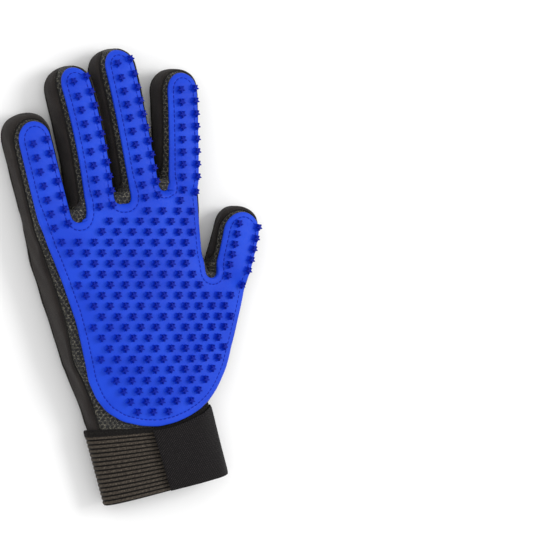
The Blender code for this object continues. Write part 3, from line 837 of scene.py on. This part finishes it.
def relax(points, edges, rounds):
    """Points moved half way to the mean of their neighbours, some rounds in a row."""
    count = np.bincount(edges.ravel(), minlength=len(points))[:, None]
    for _ in range(rounds):
        total = np.zeros_like(points)
        for k in range(3):
            total[:, k] = (np.bincount(edges[:, 0], points[edges[:, 1], k], len(points))
                           + np.bincount(edges[:, 1], points[edges[:, 0], k], len(points)))
        points = points + (total / np.maximum(count, 1) - points) / 2
    return points


def point_normals(points, faces):
    fourth = np.where(faces[:, 3] < 0, faces[:, 2], faces[:, 3])
    face = np.cross(points[faces[:, 2]] - points[faces[:, 0]], points[fourth] - points[faces[:, 1]])
    made = np.zeros_like(points)
    for k in range(3):
        for c in range(3):
            made[:, c] += np.bincount(faces[:, k], face[:, c], len(points))
    return unit(made)


def middle_height(x, y):
    z = palm_middle(clamp(palm_share(x, y)))
    for f in FINGERS.values():
        s, q = finger_project(f, x, y)
        z = mix(z, finger_size(f, s)[2], finger_share(s, q))
    return z


def side_lines():
    """Seams low on the sides, where the side strip meets the back."""
    lines = []
    turn = np.linspace(0, math.pi, 60)
    for f in FINGERS.values():
        nose = f["length"] - 12.5
        s = np.arange(9, nose + 0.5, 0.6)
        side = finger_size(f, s)[0]
        across = np.concatenate([side, finger_size(f, nose)[0] * np.cos(turn), -side[::-1]])
        station = np.concatenate([s, nose + 12.3 * np.sin(turn), s[::-1]])
        plan = finger_plan(f, station, across)
        lift = finger_size(f, station)[2]
        lines.append(np.column_stack([plan, lift - 3.6]))
    for side, low, high in ((-1, 0.0, 0.98), (1, 0.0, 0.5), (1, 0.66, 0.98)):
        share = np.arange(low, high, 0.004)
        left, right = palm_ends(share)
        x = left if side < 0 else right
        lines.append(np.column_stack([x, palm_y(x, share), palm_middle(share) - 3.2]))
    return lines


def tube_along(path, normals, radius, sides=6, finish=0):
    """A round tube along a path of points."""
    ahead = unit(np.gradient(path, axis=0))
    side = unit(np.cross(ahead, normals))
    up = np.cross(side, ahead)
    angles = np.arange(sides) * math.tau / sides
    turned = side[:, None] * np.cos(angles)[:, None] + up[:, None] * np.sin(angles)[:, None]
    rings = (path[:, None] + radius * turned).reshape(-1, 3)
    cap = ahead * radius * 0.6
    points = np.vstack([rings, path[0] - cap[0], path[-1] + cap[-1]])
    faces = quads(len(path), sides) + fan(len(rings), sides, turned=True)
    return Shape(points, faces + fan(len(rings) + 1, sides, len(rings) - sides), finish)


def dashes(path, normals, length, gap, radius, finish):
    """Stitches along a path: short rounded threads."""
    run = run_of(path)
    made = []
    at = 0.0
    while at + length < run[-1]:
        spots = np.linspace(at, at + length, 4)
        line = np.stack([np.interp(spots, run, path[:, k]) for k in range(3)], -1)
        norm = unit(np.stack([np.interp(spots, run, normals[:, k]) for k in range(3)], -1))
        line = line + norm * np.array([-0.12, 0.12, 0.12, -0.12])[:, None]
        made.append(tube_along(line, norm, radius, 6, finish))
        at += length + gap
    return joined(made)


def build_skin(edge):
    """The fabric with its seams sunk in, the path of the piping and the paths of the side seams."""
    shapes = [palm_hull()] + [finger_tube(f) for f in FINGERS.values()]
    points, faces = voxel_union(shapes)
    edges = edges_of(faces)
    points = relax(points, edges, 10)
    normals = point_normals(points, faces)
    x, y, z = points.T
    upper = (normals[:, 2] > 0.05) & (z > middle_height(x, y) - 1)
    pad_inside = np.zeros(len(points), bool)
    pad_inside[upper] = inside(points[upper], edge)
    dense = resample(edge, 0.5, 0)
    far, which = nearest(in_plan(dense[:, :2]), in_plan(points[:, :2]))
    signed = np.where(pad_inside, -far, far)
    width = dense[which, 2]
    under = surface(x, y) - 0.25
    pull = np.where(upper, smooth((1.5 - signed) / 3.0), 0.0)
    points[:, 2] = mix(z, under, np.where(np.abs(z - under) < 5, pull, 0.0))
    points = relax(points, edges, 2)

    tree = BVHTree.FromPolygons(points.tolist(), face_lists(faces))
    lines = side_lines()
    snapped = []
    for line in lines:
        found = [tree.find_nearest(Vector(p)) for p in line]
        snapped.append((np.array([f[0] for f in found]), np.array([f[1] for f in found])))
    piping = piping_line(edge, tree)
    seam_points = np.vstack([s[0] for s in snapped] + [piping[0]])
    gap, _ = nearest(seam_points, points)
    normals = point_normals(points, faces)
    # the cloth sinks at a seam and swells a little beside it
    sink = -0.5 * np.exp(-(gap / 0.8) ** 2) + 0.22 * np.exp(-((gap - 1.9) / 0.9) ** 2)
    loose = smooth((signed - 1) / 4)
    folds = (np.sin(points[:, 1] * 0.31 + points[:, 2] * 0.5 + 1.3 * np.sin(points[:, 0] * 0.13))
             * np.sin(points[:, 1] * 0.12 + points[:, 0] * 0.21) * 0.2)
    points = points + normals * (sink + folds * loose)[:, None]
    points[:, 2] = np.maximum(points[:, 2], 0.02)

    finish = mesh_faces(points, faces, normals, signed < width)
    return Shape(points, faces, finish, weave_of(points, normals)), piping, snapped


def mesh_faces(points, faces, normals, near_pad):
    """1 for each face beside the pad or between two fingers, which is mesh, and 0 for stretch fabric."""
    x, y, z = Shape(points, faces, 0).centres().T
    corner = np.where(faces[:, 3] < 0, faces[:, 2], faces[:, 3])
    found = (z > middle_height(x, y) + 0.5) & near_pad[corner] & (x > side_limit(x, y))
    for slot_x, slot_y in slot_bottoms():
        near = np.hypot(x - slot_x, y - slot_y) < SLOT_REACH
        found |= near & (normals[corner, 2] > -0.2) & (z > 5)
    return found.astype(int)


def weave_of(points, normals):
    """Distance across and along the cloth, for the weaves."""
    x, y, z = points.T
    crown = 24.0
    on_side = np.abs(normals[:, 2]) < 0.8
    u = np.where(normals[:, 2] < -0.4, x, x + np.sign(x + 8) * (crown - z) * on_side * 0.8)
    v = y.copy()
    codes = region(x, y)
    for i, f in enumerate(FINGERS.values()):
        mine = codes // 10 == i
        s, q = finger_project(f, x, y)
        lift = finger_size(f, s)[2]
        angle = np.arctan2(q, z - lift)
        u = np.where(mine, angle * 12.0, u)
        v = np.where(mine, s, v)
    return np.column_stack([u, v, z])


def side_limit(x, y):
    """X where the mesh ends on the little finger's side, so that a strip of stretch fabric shows."""
    share = clamp(palm_share(x, y))
    left = palm_ends(share)[0] + mix(3.4, 1.1, smooth((share - 0.05) / 0.35))
    return np.where((x < 0) & (y < 138), left, -99.0)


def piping_line(edge, tree):
    """The raised seam between mesh and stretch fabric, from the wrist round every finger and back."""
    out = edge[:, :2] - inward(edge) * edge[:, 2:3]
    little = (edge[:, 0] < -20) & (edge[:, 1] < 138)
    out[:, 0] = np.where(little, np.maximum(out[:, 0], side_limit(out[:, 0], out[:, 1])), out[:, 0])
    keep = ((edge[:, 2] < 8) | (little & (edge[:, 2] < 10))) & ~inside(out, edge)
    for spot in slot_bottoms():
        keep &= np.hypot(out[:, 0] - spot[0], out[:, 1] - spot[1]) > 7
    order = np.roll(np.arange(len(edge)), -int(np.argmin(keep)))
    order = order[keep[order]]
    spots, normals = [], []
    for px, py in eased(out[order]):
        hit = tree.ray_cast(Vector((px, py, 60)), Vector((0, 0, -1)))
        if hit[0] is not None and hit[0].z > 6:
            spots.append(hit[0])
            normals.append(hit[1])
    return np.array(spots), np.array(normals)


def split_runs(path, normals, most=2.5):
    """A path broken where it jumps."""
    jump = np.linalg.norm(np.diff(path, axis=0), axis=1) > most
    ends = [0, *(np.flatnonzero(jump) + 1), len(path)]
    return [(path[a:b], normals[a:b]) for a, b in zip(ends, ends[1:]) if b - a > 3]


def build_fabric(edge):
    skin, piping, sides = build_skin(edge)
    seams = []
    for line, sink, radius in [(piping, 0.1, 0.5), *((side, 0.25, 0.42) for side in sides)]:
        for path, norm in split_runs(*line):
            seams.append(tube_along(eased(path) - norm * sink, norm, radius, 8, 2))
    whole = joined([skin] + seams)
    normals = corner_normals(whole, 0)
    centre = whole.centres()
    codes = region(centre[:, 0], centre[:, 1])
    is_mesh = whole.finish == 1
    for code in sorted(set(codes)):
        mine, label = codes == code, label_of(code)
        sleeve = PALM_PANELS if code < 0 else [f"{label}_sleeve"]
        for kind, mask, finishes, replaced in (("mesh", mine & is_mesh, ["mesh"], [f"{label}_mesh"]),
                                               ("sleeve", mine & ~is_mesh, ["stretch", "seam"], sleeve)):
            if mask.any():
                shape, norm = part_of(whole, normals, mask)
                shape.finish = (shape.finish == 2).astype(int)
                obj = add_piece(f"{label}_{kind}_skin", shape, finishes, norm)
                hold(obj, code, replaced)


# silicone pad


def nub_places(edge):
    """Staggered rows over the palm and two columns on each finger, as the CAD has them."""
    found = []
    spots = resample(edge, 1.0, 0)[:, :2]
    step = 0.25
    for row in NUB_ROWS:
        y = NUB_START[1] + NUB_ROW * row
        for way in (-1, 1):
            goal = NUB_PITCH * (0.5 if row % 2 else (0 if way > 0 else 1))
            x = NUB_START[0] + way * step * np.arange(330)
            rise = np.diff(surface(x, np.full_like(x, y)))
            run = np.concatenate([[0], np.cumsum(np.hypot(step, rise))])
            for k in range(12):
                at = goal + k * NUB_PITCH
                if at < run[-1]:
                    found.append((np.interp(at, run, x), y))
    found = np.array(found)
    clear = np.array([np.linalg.norm(spots - p, axis=1).min() for p in found]) > NUB_MARGIN
    found = found[inside(found, edge) & clear]
    for f in FINGERS.values():
        s, q = finger_project(f, found[:, 0], found[:, 1])
        found = found[(s < -0.5) | (np.abs(q) > f["pad"] + 1)]
    for name, f in FINGERS.items():
        first, pitch, count = f["rows"]
        back = first if name != "thumb" else THUMB_BACK
        sides = np.array([-1, 1])
        q = sides * f["columns"] / 2 + f["aside"]
        row = finger_plan(f, np.array([-back, -back]), q)
        far = np.linalg.norm(found[:, None] - row[None], axis=2).min(1)
        found = np.vstack([found[far > NUB_GAP], row])
        top = f["length"] - f["pad_short"] - NUB_TIP
        for k in range(count):
            s = first + pitch * k + sides * 0.25
            found = np.vstack([found, finger_plan(f, s, q)[s < top]])
    return found


def star_loop(radius, valley, height):
    """A five-pointed star with rounded points, one of them toward the cuff."""
    points = []
    for k in range(5):
        tip = -math.pi / 2 + k * math.tau / 5
        shoulder = radius * 0.93
        for turn, far in ((-0.13, shoulder), (0.0, radius), (0.13, shoulder), (math.pi / 5, valley)):
            points.append((far * math.cos(tip + turn), far * math.sin(tip + turn), height))
    return points


def star_post():
    """A moulded star post that flares into the pad at its foot and is rounded at its top."""
    levels = ((2.6, 1.8, PAD_UNDER), (2.45, 1.6, -0.02), (2.25, 1.2, 0.12), (2.14, 0.98, 0.4),
              (2.06, 0.9, 1.4), (2.0, 0.86, 2.4), (1.92, 0.82, 2.74), (1.72, 0.7, 2.92))
    rings = [np.array(star_loop(*level)) for level in levels]
    rows, size = len(rings), len(rings[0])
    points = np.vstack([*rings, [[0, 0, 2.96]], [[0, 0, PAD_UNDER]]])
    faces = quads(rows, size) + fan(rows * size, size, (rows - 1) * size)
    return points, faces + fan(rows * size + 1, size, turned=True)


# the rim's section, from under the edge to the far side of the stitch groove, as (inset, lift)
STITCH = 3.4
RIM = ((0.4, PAD_UNDER), (0.05, -0.1), (0.0, 0.5), (0.0, 1.3), (0.15, 1.7), (0.4, 1.95), (0.8, PAD_TOP),
       (1.7, 2.12), (2.6, PAD_TOP), (2.95, 2.06), (3.15, 1.94), (STITCH, GROOVE_TOP), (3.65, 1.94),
       (3.85, 2.06), (4.3, PAD_TOP))


def narrow(edge):
    """Share by which the border narrows on the fingers."""
    on_finger = (region(edge[:, 0], edge[:, 1]) >= 0).astype(float)
    for _ in range(8):
        on_finger = (np.roll(on_finger, 1) + on_finger + np.roll(on_finger, -1)) / 3
    return (1 - 0.28 * on_finger)[:, None]


def pad_sheet(edge):
    """The pad: a rounded rim, the stitch groove and a smooth top, closed underneath."""
    normal = inward(edge) * narrow(edge)
    rings = []
    for inset, lift in RIM:
        plan = edge[:, :2] + normal * inset
        rings.append(lifted(plan, lift)[0])
    inner = edge[:, :2] + normal * RIM[-1][0]
    size = len(edge)
    low, high = inner.min(0), inner.max(0)
    gx, gy = np.meshgrid(np.arange(low[0], high[0], 2.2), np.arange(low[1], high[1], 1.9))
    gx[1::2] += 1.1
    grid = np.column_stack([gx.ravel(), gy.ravel()])
    grid = grid[inside(grid, inner)]
    far, _ = nearest(in_plan(inner), in_plan(grid))
    grid = grid[far > 1.0]
    seeds = [Vector(p) for p in np.vstack([inner, grid])]
    made = delaunay_2d_cdt(seeds, [(i, (i + 1) % size) for i in range(size)], [], 0, 1e-6, True)
    plan = np.array([tuple(p) for p in made[0]])
    tris = np.array([f for f in made[2] if len(f) == 3])
    tris = tris[inside(plan[tris].mean(1), inner)]
    b, c = (plan[tris[:, k]] - plan[tris[:, 0]] for k in (1, 2))
    turn = b[:, 0] * c[:, 1] - b[:, 1] * c[:, 0]
    tris = np.where((turn > 0)[:, None], tris, tris[:, ::-1])
    source = {min(o): i for i, o in enumerate(made[3]) if o}
    rim_index = np.array([source[i] for i in range(size)])
    top, under = (lifted(plan, lift)[0] for lift in (PAD_TOP, PAD_UNDER))
    points = np.vstack([*rings[:-1], top, under])
    first_top = (len(rings) - 1) * size
    first_low = first_top + len(top)
    faces = quads(len(rings) - 1, size)
    r = (len(rings) - 2) * size
    for c in range(size):
        d = (c + 1) % size
        faces.append([r + c, r + d, first_top + rim_index[d], first_top + rim_index[c]])
        faces.append([d, c, first_low + rim_index[c], first_low + rim_index[d]])
    faces += (tris + first_top).tolist()
    faces += (tris[:, ::-1] + first_low).tolist()
    return Shape(points, faces, 0)


def build_pad(edge):
    """The pad with its nubs and stitches, cut where the fingers bend."""
    shapes = [pad_sheet(edge)]
    post, post_faces = star_post()
    places = nub_places(edge)
    spots, normals = lifted(places, PAD_TOP)
    ahead = np.tile([0.0, 1.0, 0.0], (len(places), 1))
    for f in FINGERS.values():
        s, q = finger_project(f, places[:, 0], places[:, 1])
        near = (s > -6) & (np.abs(q) < 12) & (s < f["length"])
        way = finger_frame(f, s)[1]
        ahead[near] = unit(mix(ahead[near], in_plan(way)[near], 0.6))
    for spot, up, way in zip(spots, normals, ahead):
        side = unit(np.cross(way, up))
        way = np.cross(up, side)
        points = spot + post @ np.stack([side, way, up])
        # extra rises from the foot to the top of each star post and sets where the nub finish paints shade
        shapes.append(Shape(points, post_faces, 1, extra=clamp((post[:, 2] - 0.3) / 2.3)))
    groove = edge[:, :2] + inward(edge) * narrow(edge) * STITCH
    groove = resample(groove, 1.0, 1)
    path, norm = lifted(groove, GROOVE_TOP)
    shapes.append(dashes(path, norm, 1.6, 0.9, 0.26, 2))
    whole = joined(shapes)
    normals = corner_normals(whole, 38)
    centre = whole.centres()
    codes = region(centre[:, 0], centre[:, 1])
    post_count = len(post_faces)
    first = len(shapes[0].faces)
    for k, place in enumerate(places):
        code = region(place[:1], place[1:])
        codes[first + k * post_count:first + (k + 1) * post_count] = code
    for code in sorted(set(codes)):
        shape, norm = part_of(whole, normals, codes == code)
        obj = add_piece(f"{label_of(code)}_silicone", shape, ["silicone", "nub", "blue_thread"], norm)
        hold(obj, code, [f"{label_of(code)}_pad"])


# cuff and strap


def cuff_edge_y(side, top):
    """Height of the cuff's mouth or of its top seam at a share across, from -1 to 1."""
    if not top:
        return CUFF_MOUTH[1] + 7.6 * side
    return CUFF_TOP[1] + np.where(side < 0, 2.4 * side, 12.4 * np.abs(side) ** 1.5)


def cuff_point(t, angle, lift):
    """A point of the cuff: t from mouth (0) to top (1), angle from the thumb side over the palm."""
    t, angle = np.broadcast_arrays(np.asarray(t, float), np.asarray(angle, float))
    across, up = ring_point(angle, CUFF_POWER)
    side = np.clip(across, -1, 1)
    tilt = np.cos(math.radians(12.4))
    x = mix(CUFF_MOUTH[0], CUFF_TOP[0], t) + across * (CUFF_WIDE + lift) * mix(tilt, 0.985, clamp(t))
    y = mix(cuff_edge_y(side, False), cuff_edge_y(side, True), t)
    return np.stack([x, y, CUFF_LIFT + CUFF_TALL + up * (CUFF_TALL + lift)], -1)


def cuff_run(angles):
    """Distance round the cuff from its back, for the weaves."""
    dense = np.radians(np.linspace(-180, 360, 1081))
    return np.interp(angles, dense, run_of(cuff_point(0.5, dense, 2.0)))


def cuff_cloth(t, angles):
    """Distance round and up the cuff, for the weaves."""
    return in_plan(np.column_stack([cuff_run(angles), t * CUFF_LENGTH * np.ones(len(angles))]))


def cuff_rings(profile, angles, wave=0.0):
    """A shape through rings round the cuff; each level is (t, lift, crest of the rib)."""
    points = np.vstack([cuff_point(t, angles, lift + wave) for t, lift, _ in profile])
    cloth = np.vstack([cuff_cloth(t, angles) for t, _, _ in profile])
    crest = np.repeat([level[2] for level in profile], len(angles))
    return Shape(points, quads(len(profile), len(angles)), 0, cloth, crest)


def build_cuff_band():
    """The ribbed band: down its inside, round the mouth and back over the ribs."""
    wall = -CUFF_WALL + RIB_DEPTH
    profile = []
    # the inside gets half crests and the mouth low ones, so painted shade darkens the band's inside and its
    # mouth
    for t in np.linspace(0.97, 0.0, 60):
        rib = abs(math.sin(math.pi * RIBS * t)) ** 0.8
        profile.append((t, wall - 0.25 * (1 - rib), 0.5 * rib))
    for turn in np.radians(np.linspace(-80, 80, 7)):
        profile.append((-0.006 * math.cos(turn), mix(wall, 0.1, (1 + math.sin(turn)) / 2), 0.35))
    for t in np.linspace(0.004, 1.0, RIBS * 9 + 1):
        rib = abs(math.sin(math.pi * RIBS * t)) ** 0.75
        profile.append((t, RIB_DEPTH * rib - 0.02, rib))
    shape = cuff_rings(profile, np.linspace(0, math.tau, 160, endpoint=False))
    hold(add_piece("cuff_ribbed", shape, ["elastic"]), ON_PALM, ["cuff_band"])


def build_binding():
    """The sewn edge that joins the glove to the cuff."""
    angles = np.linspace(0, math.tau, 200, endpoint=False)
    profile = [(0.965, -0.9, 0), (0.965, 0.1, 0), (0.972, 0.4, 0), (0.99, 0.58, 0), (1.02, 0.6, 0),
               (1.05, 0.56, 0), (1.07, 0.38, 0), (1.08, 0.05, 0), (1.085, -0.9, 0)]
    shapes = [cuff_rings(profile, angles, 0.1 * np.sin(angles * 90))]
    around = np.linspace(0, math.tau, 400)
    for t, lift in ((0.99, 0.6), (1.045, 0.56)):
        path = cuff_point(t, around, lift)
        inside_cuff = path * (0.75, 1, 0) + (0, 0, CUFF_LIFT + CUFF_TALL)
        shapes.append(dashes(path, unit(path - inside_cuff), 1.7, 0.8, 0.22, 1))
    obj = add_piece("wrist_seam", joined(shapes), ["binding", "seam"])
    hold(obj, ON_PALM, ["wrist_binding"])


def strap_reach(angle):
    """How far up the cuff the strap goes, under the pad's heel."""
    side = ring_point(angle, CUFF_POWER)[0]
    x = cuff_point(0.9, angle, 2.0)[..., 0]
    heel_line = np.array([(-15, 41.0), *PAD_HEEL, (35.6, 60.6)])
    heel = read(heel_line, x) - 0.4
    low, high = cuff_edge_y(side, False), cuff_edge_y(side, True)
    return np.minimum((heel - low) / (high - low), 1.02)


def slab(angles, reach, low, high, rows=14, margin=0.0, rounding=0.3, meets=(False, False)):
    """A closed strip of cloth over the cuff; low and high are its two faces' lifts.

    Its edges are rounded, apart from an end that meets another strip.
    """
    t0, t1 = margin, reach - margin
    top, bottom, cloth = [], [], []
    size = len(angles)
    order = np.arange(size, dtype=float)
    first, last = (np.full(size, 9.0) if m else c for m, c in zip(meets, (order, order[::-1])))
    end = np.minimum(np.minimum(first, last) / 2, 1)
    for level in np.linspace(0, 1, rows):
        t = mix(t0, t1, level)
        edge = np.minimum(np.minimum(level, 1 - level) * rows / 2, 1)
        soft = rounding * (1 - np.minimum(edge, end)) ** 2
        wave = 0.08 * np.sin(angles * 11 + level * 5)
        top.append(cuff_point(t, angles, high - soft + wave))
        bottom.append(cuff_point(t, angles, low + soft + wave))
        cloth.append(cuff_cloth(t, angles))
    half = size * rows
    faces = quads(rows, size, around=False, turned=True)
    faces += (np.array(quads(rows, size, around=False)) + half).tolist()
    for c in range(size - 1):
        faces.append([c, c + 1, half + c + 1, half + c])
        k = (rows - 1) * size + c
        faces.append([k + 1, k, half + k, half + k + 1])
    for r in range(rows - 1):
        k = r * size
        faces.append([k + size, k, half + k, half + k + size])
        k += size - 1
        faces.append([k, k + size, half + k + size, half + k])
    return Shape(np.vstack(top + bottom), faces, 0, np.vstack(cloth + cloth))


def build_strap():
    """The strap round the cuff, the tab that peels up with its hooks, and the loops under it."""
    tab_angles = np.radians(np.linspace(STRAP_HINGE, STRAP_END, 60))
    tab = slab(tab_angles, strap_reach(tab_angles), STRAP_LIFT, STRAP_LIFT + STRAP_THICK, 26,
               meets=(True, False))
    flap = add_piece("strap_flap", tab, ["webbing"], crease=50)
    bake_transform(flap)
    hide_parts("strap_tab")

    hook_angles = np.radians(np.linspace(STRAP_HINGE + HOOK_INSET, STRAP_END - END_INSET, 40))
    hook = slab(hook_angles, strap_reach(hook_angles), STRAP_LIFT - 0.75, STRAP_LIFT - 0.1, 16, 0.06)
    hook = joined([hook, hook_stems(hook_angles)])
    obj = add_piece("hook_tape", hook, ["hook"], crease=50)
    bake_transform(obj)
    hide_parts("hook_patch")

    loop_angles = np.radians(np.linspace(STRAP_HINGE + LOOP_INSET, STRAP_END - END_INSET, 40))
    loop = slab(loop_angles, strap_reach(loop_angles), 0.7, 1.25, 16, 0.04)
    obj = add_piece("loop_tape", loop, ["loop"], crease=50)
    hold(obj, ON_PALM, ["loop_patch"])

    around = np.radians(np.linspace(STRAP_BACK, STRAP_HINGE, 150))
    settle = smooth((np.degrees(around) - 5) / (STRAP_HINGE - 5))
    low = mix(RIB_DEPTH + 0.25, STRAP_LIFT, settle)
    over = np.where(around > 0, strap_reach(np.maximum(around, math.radians(38))), 0.98)
    reach = np.minimum(over, 1.02)
    band = slab(around, reach, low, low + STRAP_THICK, 26, meets=(False, True))
    obj = add_piece("strap_wrap", band, ["webbing"], crease=50)
    hold(obj, ON_PALM, ["strap_anchor"])


def hook_stems(angles):
    """Rows of small bent hooks under the flap."""
    post = np.array([(0, 0, 0), (0.02, 0, -0.22), (0.12, 0, -0.38), (0.3, 0, -0.4), (0.36, 0, -0.26)])
    made = []
    for i, angle in enumerate(np.linspace(angles[3], angles[-4], 22)):
        top = float(strap_reach(np.array(angle)))
        for t in np.linspace(0.1, top - 0.1, 17):
            spot = cuff_point(t + 0.01 * (i % 2), np.array(angle), STRAP_LIFT - 0.72)
            path = spot + post * np.array([1, 1, 0.6])
            made.append(tube_along(path, np.tile([0.0, 1.0, 0.0], (len(post), 1)), 0.09, 4, 0))
    return joined(made)


# stage


def build_stage():
    mesh = bpy.data.meshes.new("floor")
    corners = [(x * FLOOR_HALF, y * FLOOR_HALF, 0) for x, y in ((-1, -1), (1, -1), (1, 1), (-1, 1))]
    mesh.from_pydata(corners, [], [(0, 1, 2, 3)])
    mesh.materials.append(Finish("floor_paint", FLOOR_PAINT, 0.9).material)
    floor = add_object("floor", mesh)
    floor.location.z = -FLOOR_DROP


def add_light(name, at, power, size):
    data = bpy.data.lights.new(name, "AREA")
    data.energy, data.shape, data.size = power, "DISK", size
    lamp = add_object(name, data)
    lamp.location = at
    lamp.rotation_euler = (Vector(LIGHT_AIM) - Vector(at)).to_track_quat("-Z", "Y").to_euler()


def build_lights():
    world = bpy.data.worlds.new("studio")
    bpy.context.scene.world = world
    world.use_nodes = True
    sky = world.node_tree.nodes["Background"].inputs
    sky["Color"].default_value = (1, 1, 1, 1)
    sky["Strength"].default_value = SKY_STRENGTH
    add_light("key", (0.85, 0.25, 1.0), 7.5, 0.7)
    add_light("fill", (-0.8, 0.1, 1.0), 5.5, 1.0)
    bpy.context.scene.view_settings.view_transform = "Standard"


def build_camera():
    tilt = math.radians(VIEW_TILT)
    back = Vector((-math.sin(tilt), 0, math.cos(tilt)))
    right, up = Vector((math.cos(tilt), 0, math.sin(tilt))), Vector((0, 1, 0))
    data = bpy.data.cameras.new("camera")
    data.lens, data.sensor_width = LENS, SENSOR
    data.clip_start, data.clip_end = 0.1, 20
    camera = add_object("camera", data)
    camera.location = Vector(to_row(VIEW_CENTRE)) + back * (VIEW_WIDTH * LENS / SENSOR)
    camera.rotation_mode = "QUATERNION"
    camera.rotation_quaternion = Matrix((right, up, back)).transposed().to_quaternion()
    bpy.context.scene.camera = camera


make_materials()
build_camera()
EDGE = resample(pad_edge(), 1.1, 5)
build_fabric(EDGE)
build_pad(EDGE)
build_cuff_band()
build_binding()
build_strap()
build_stage()
build_lights()
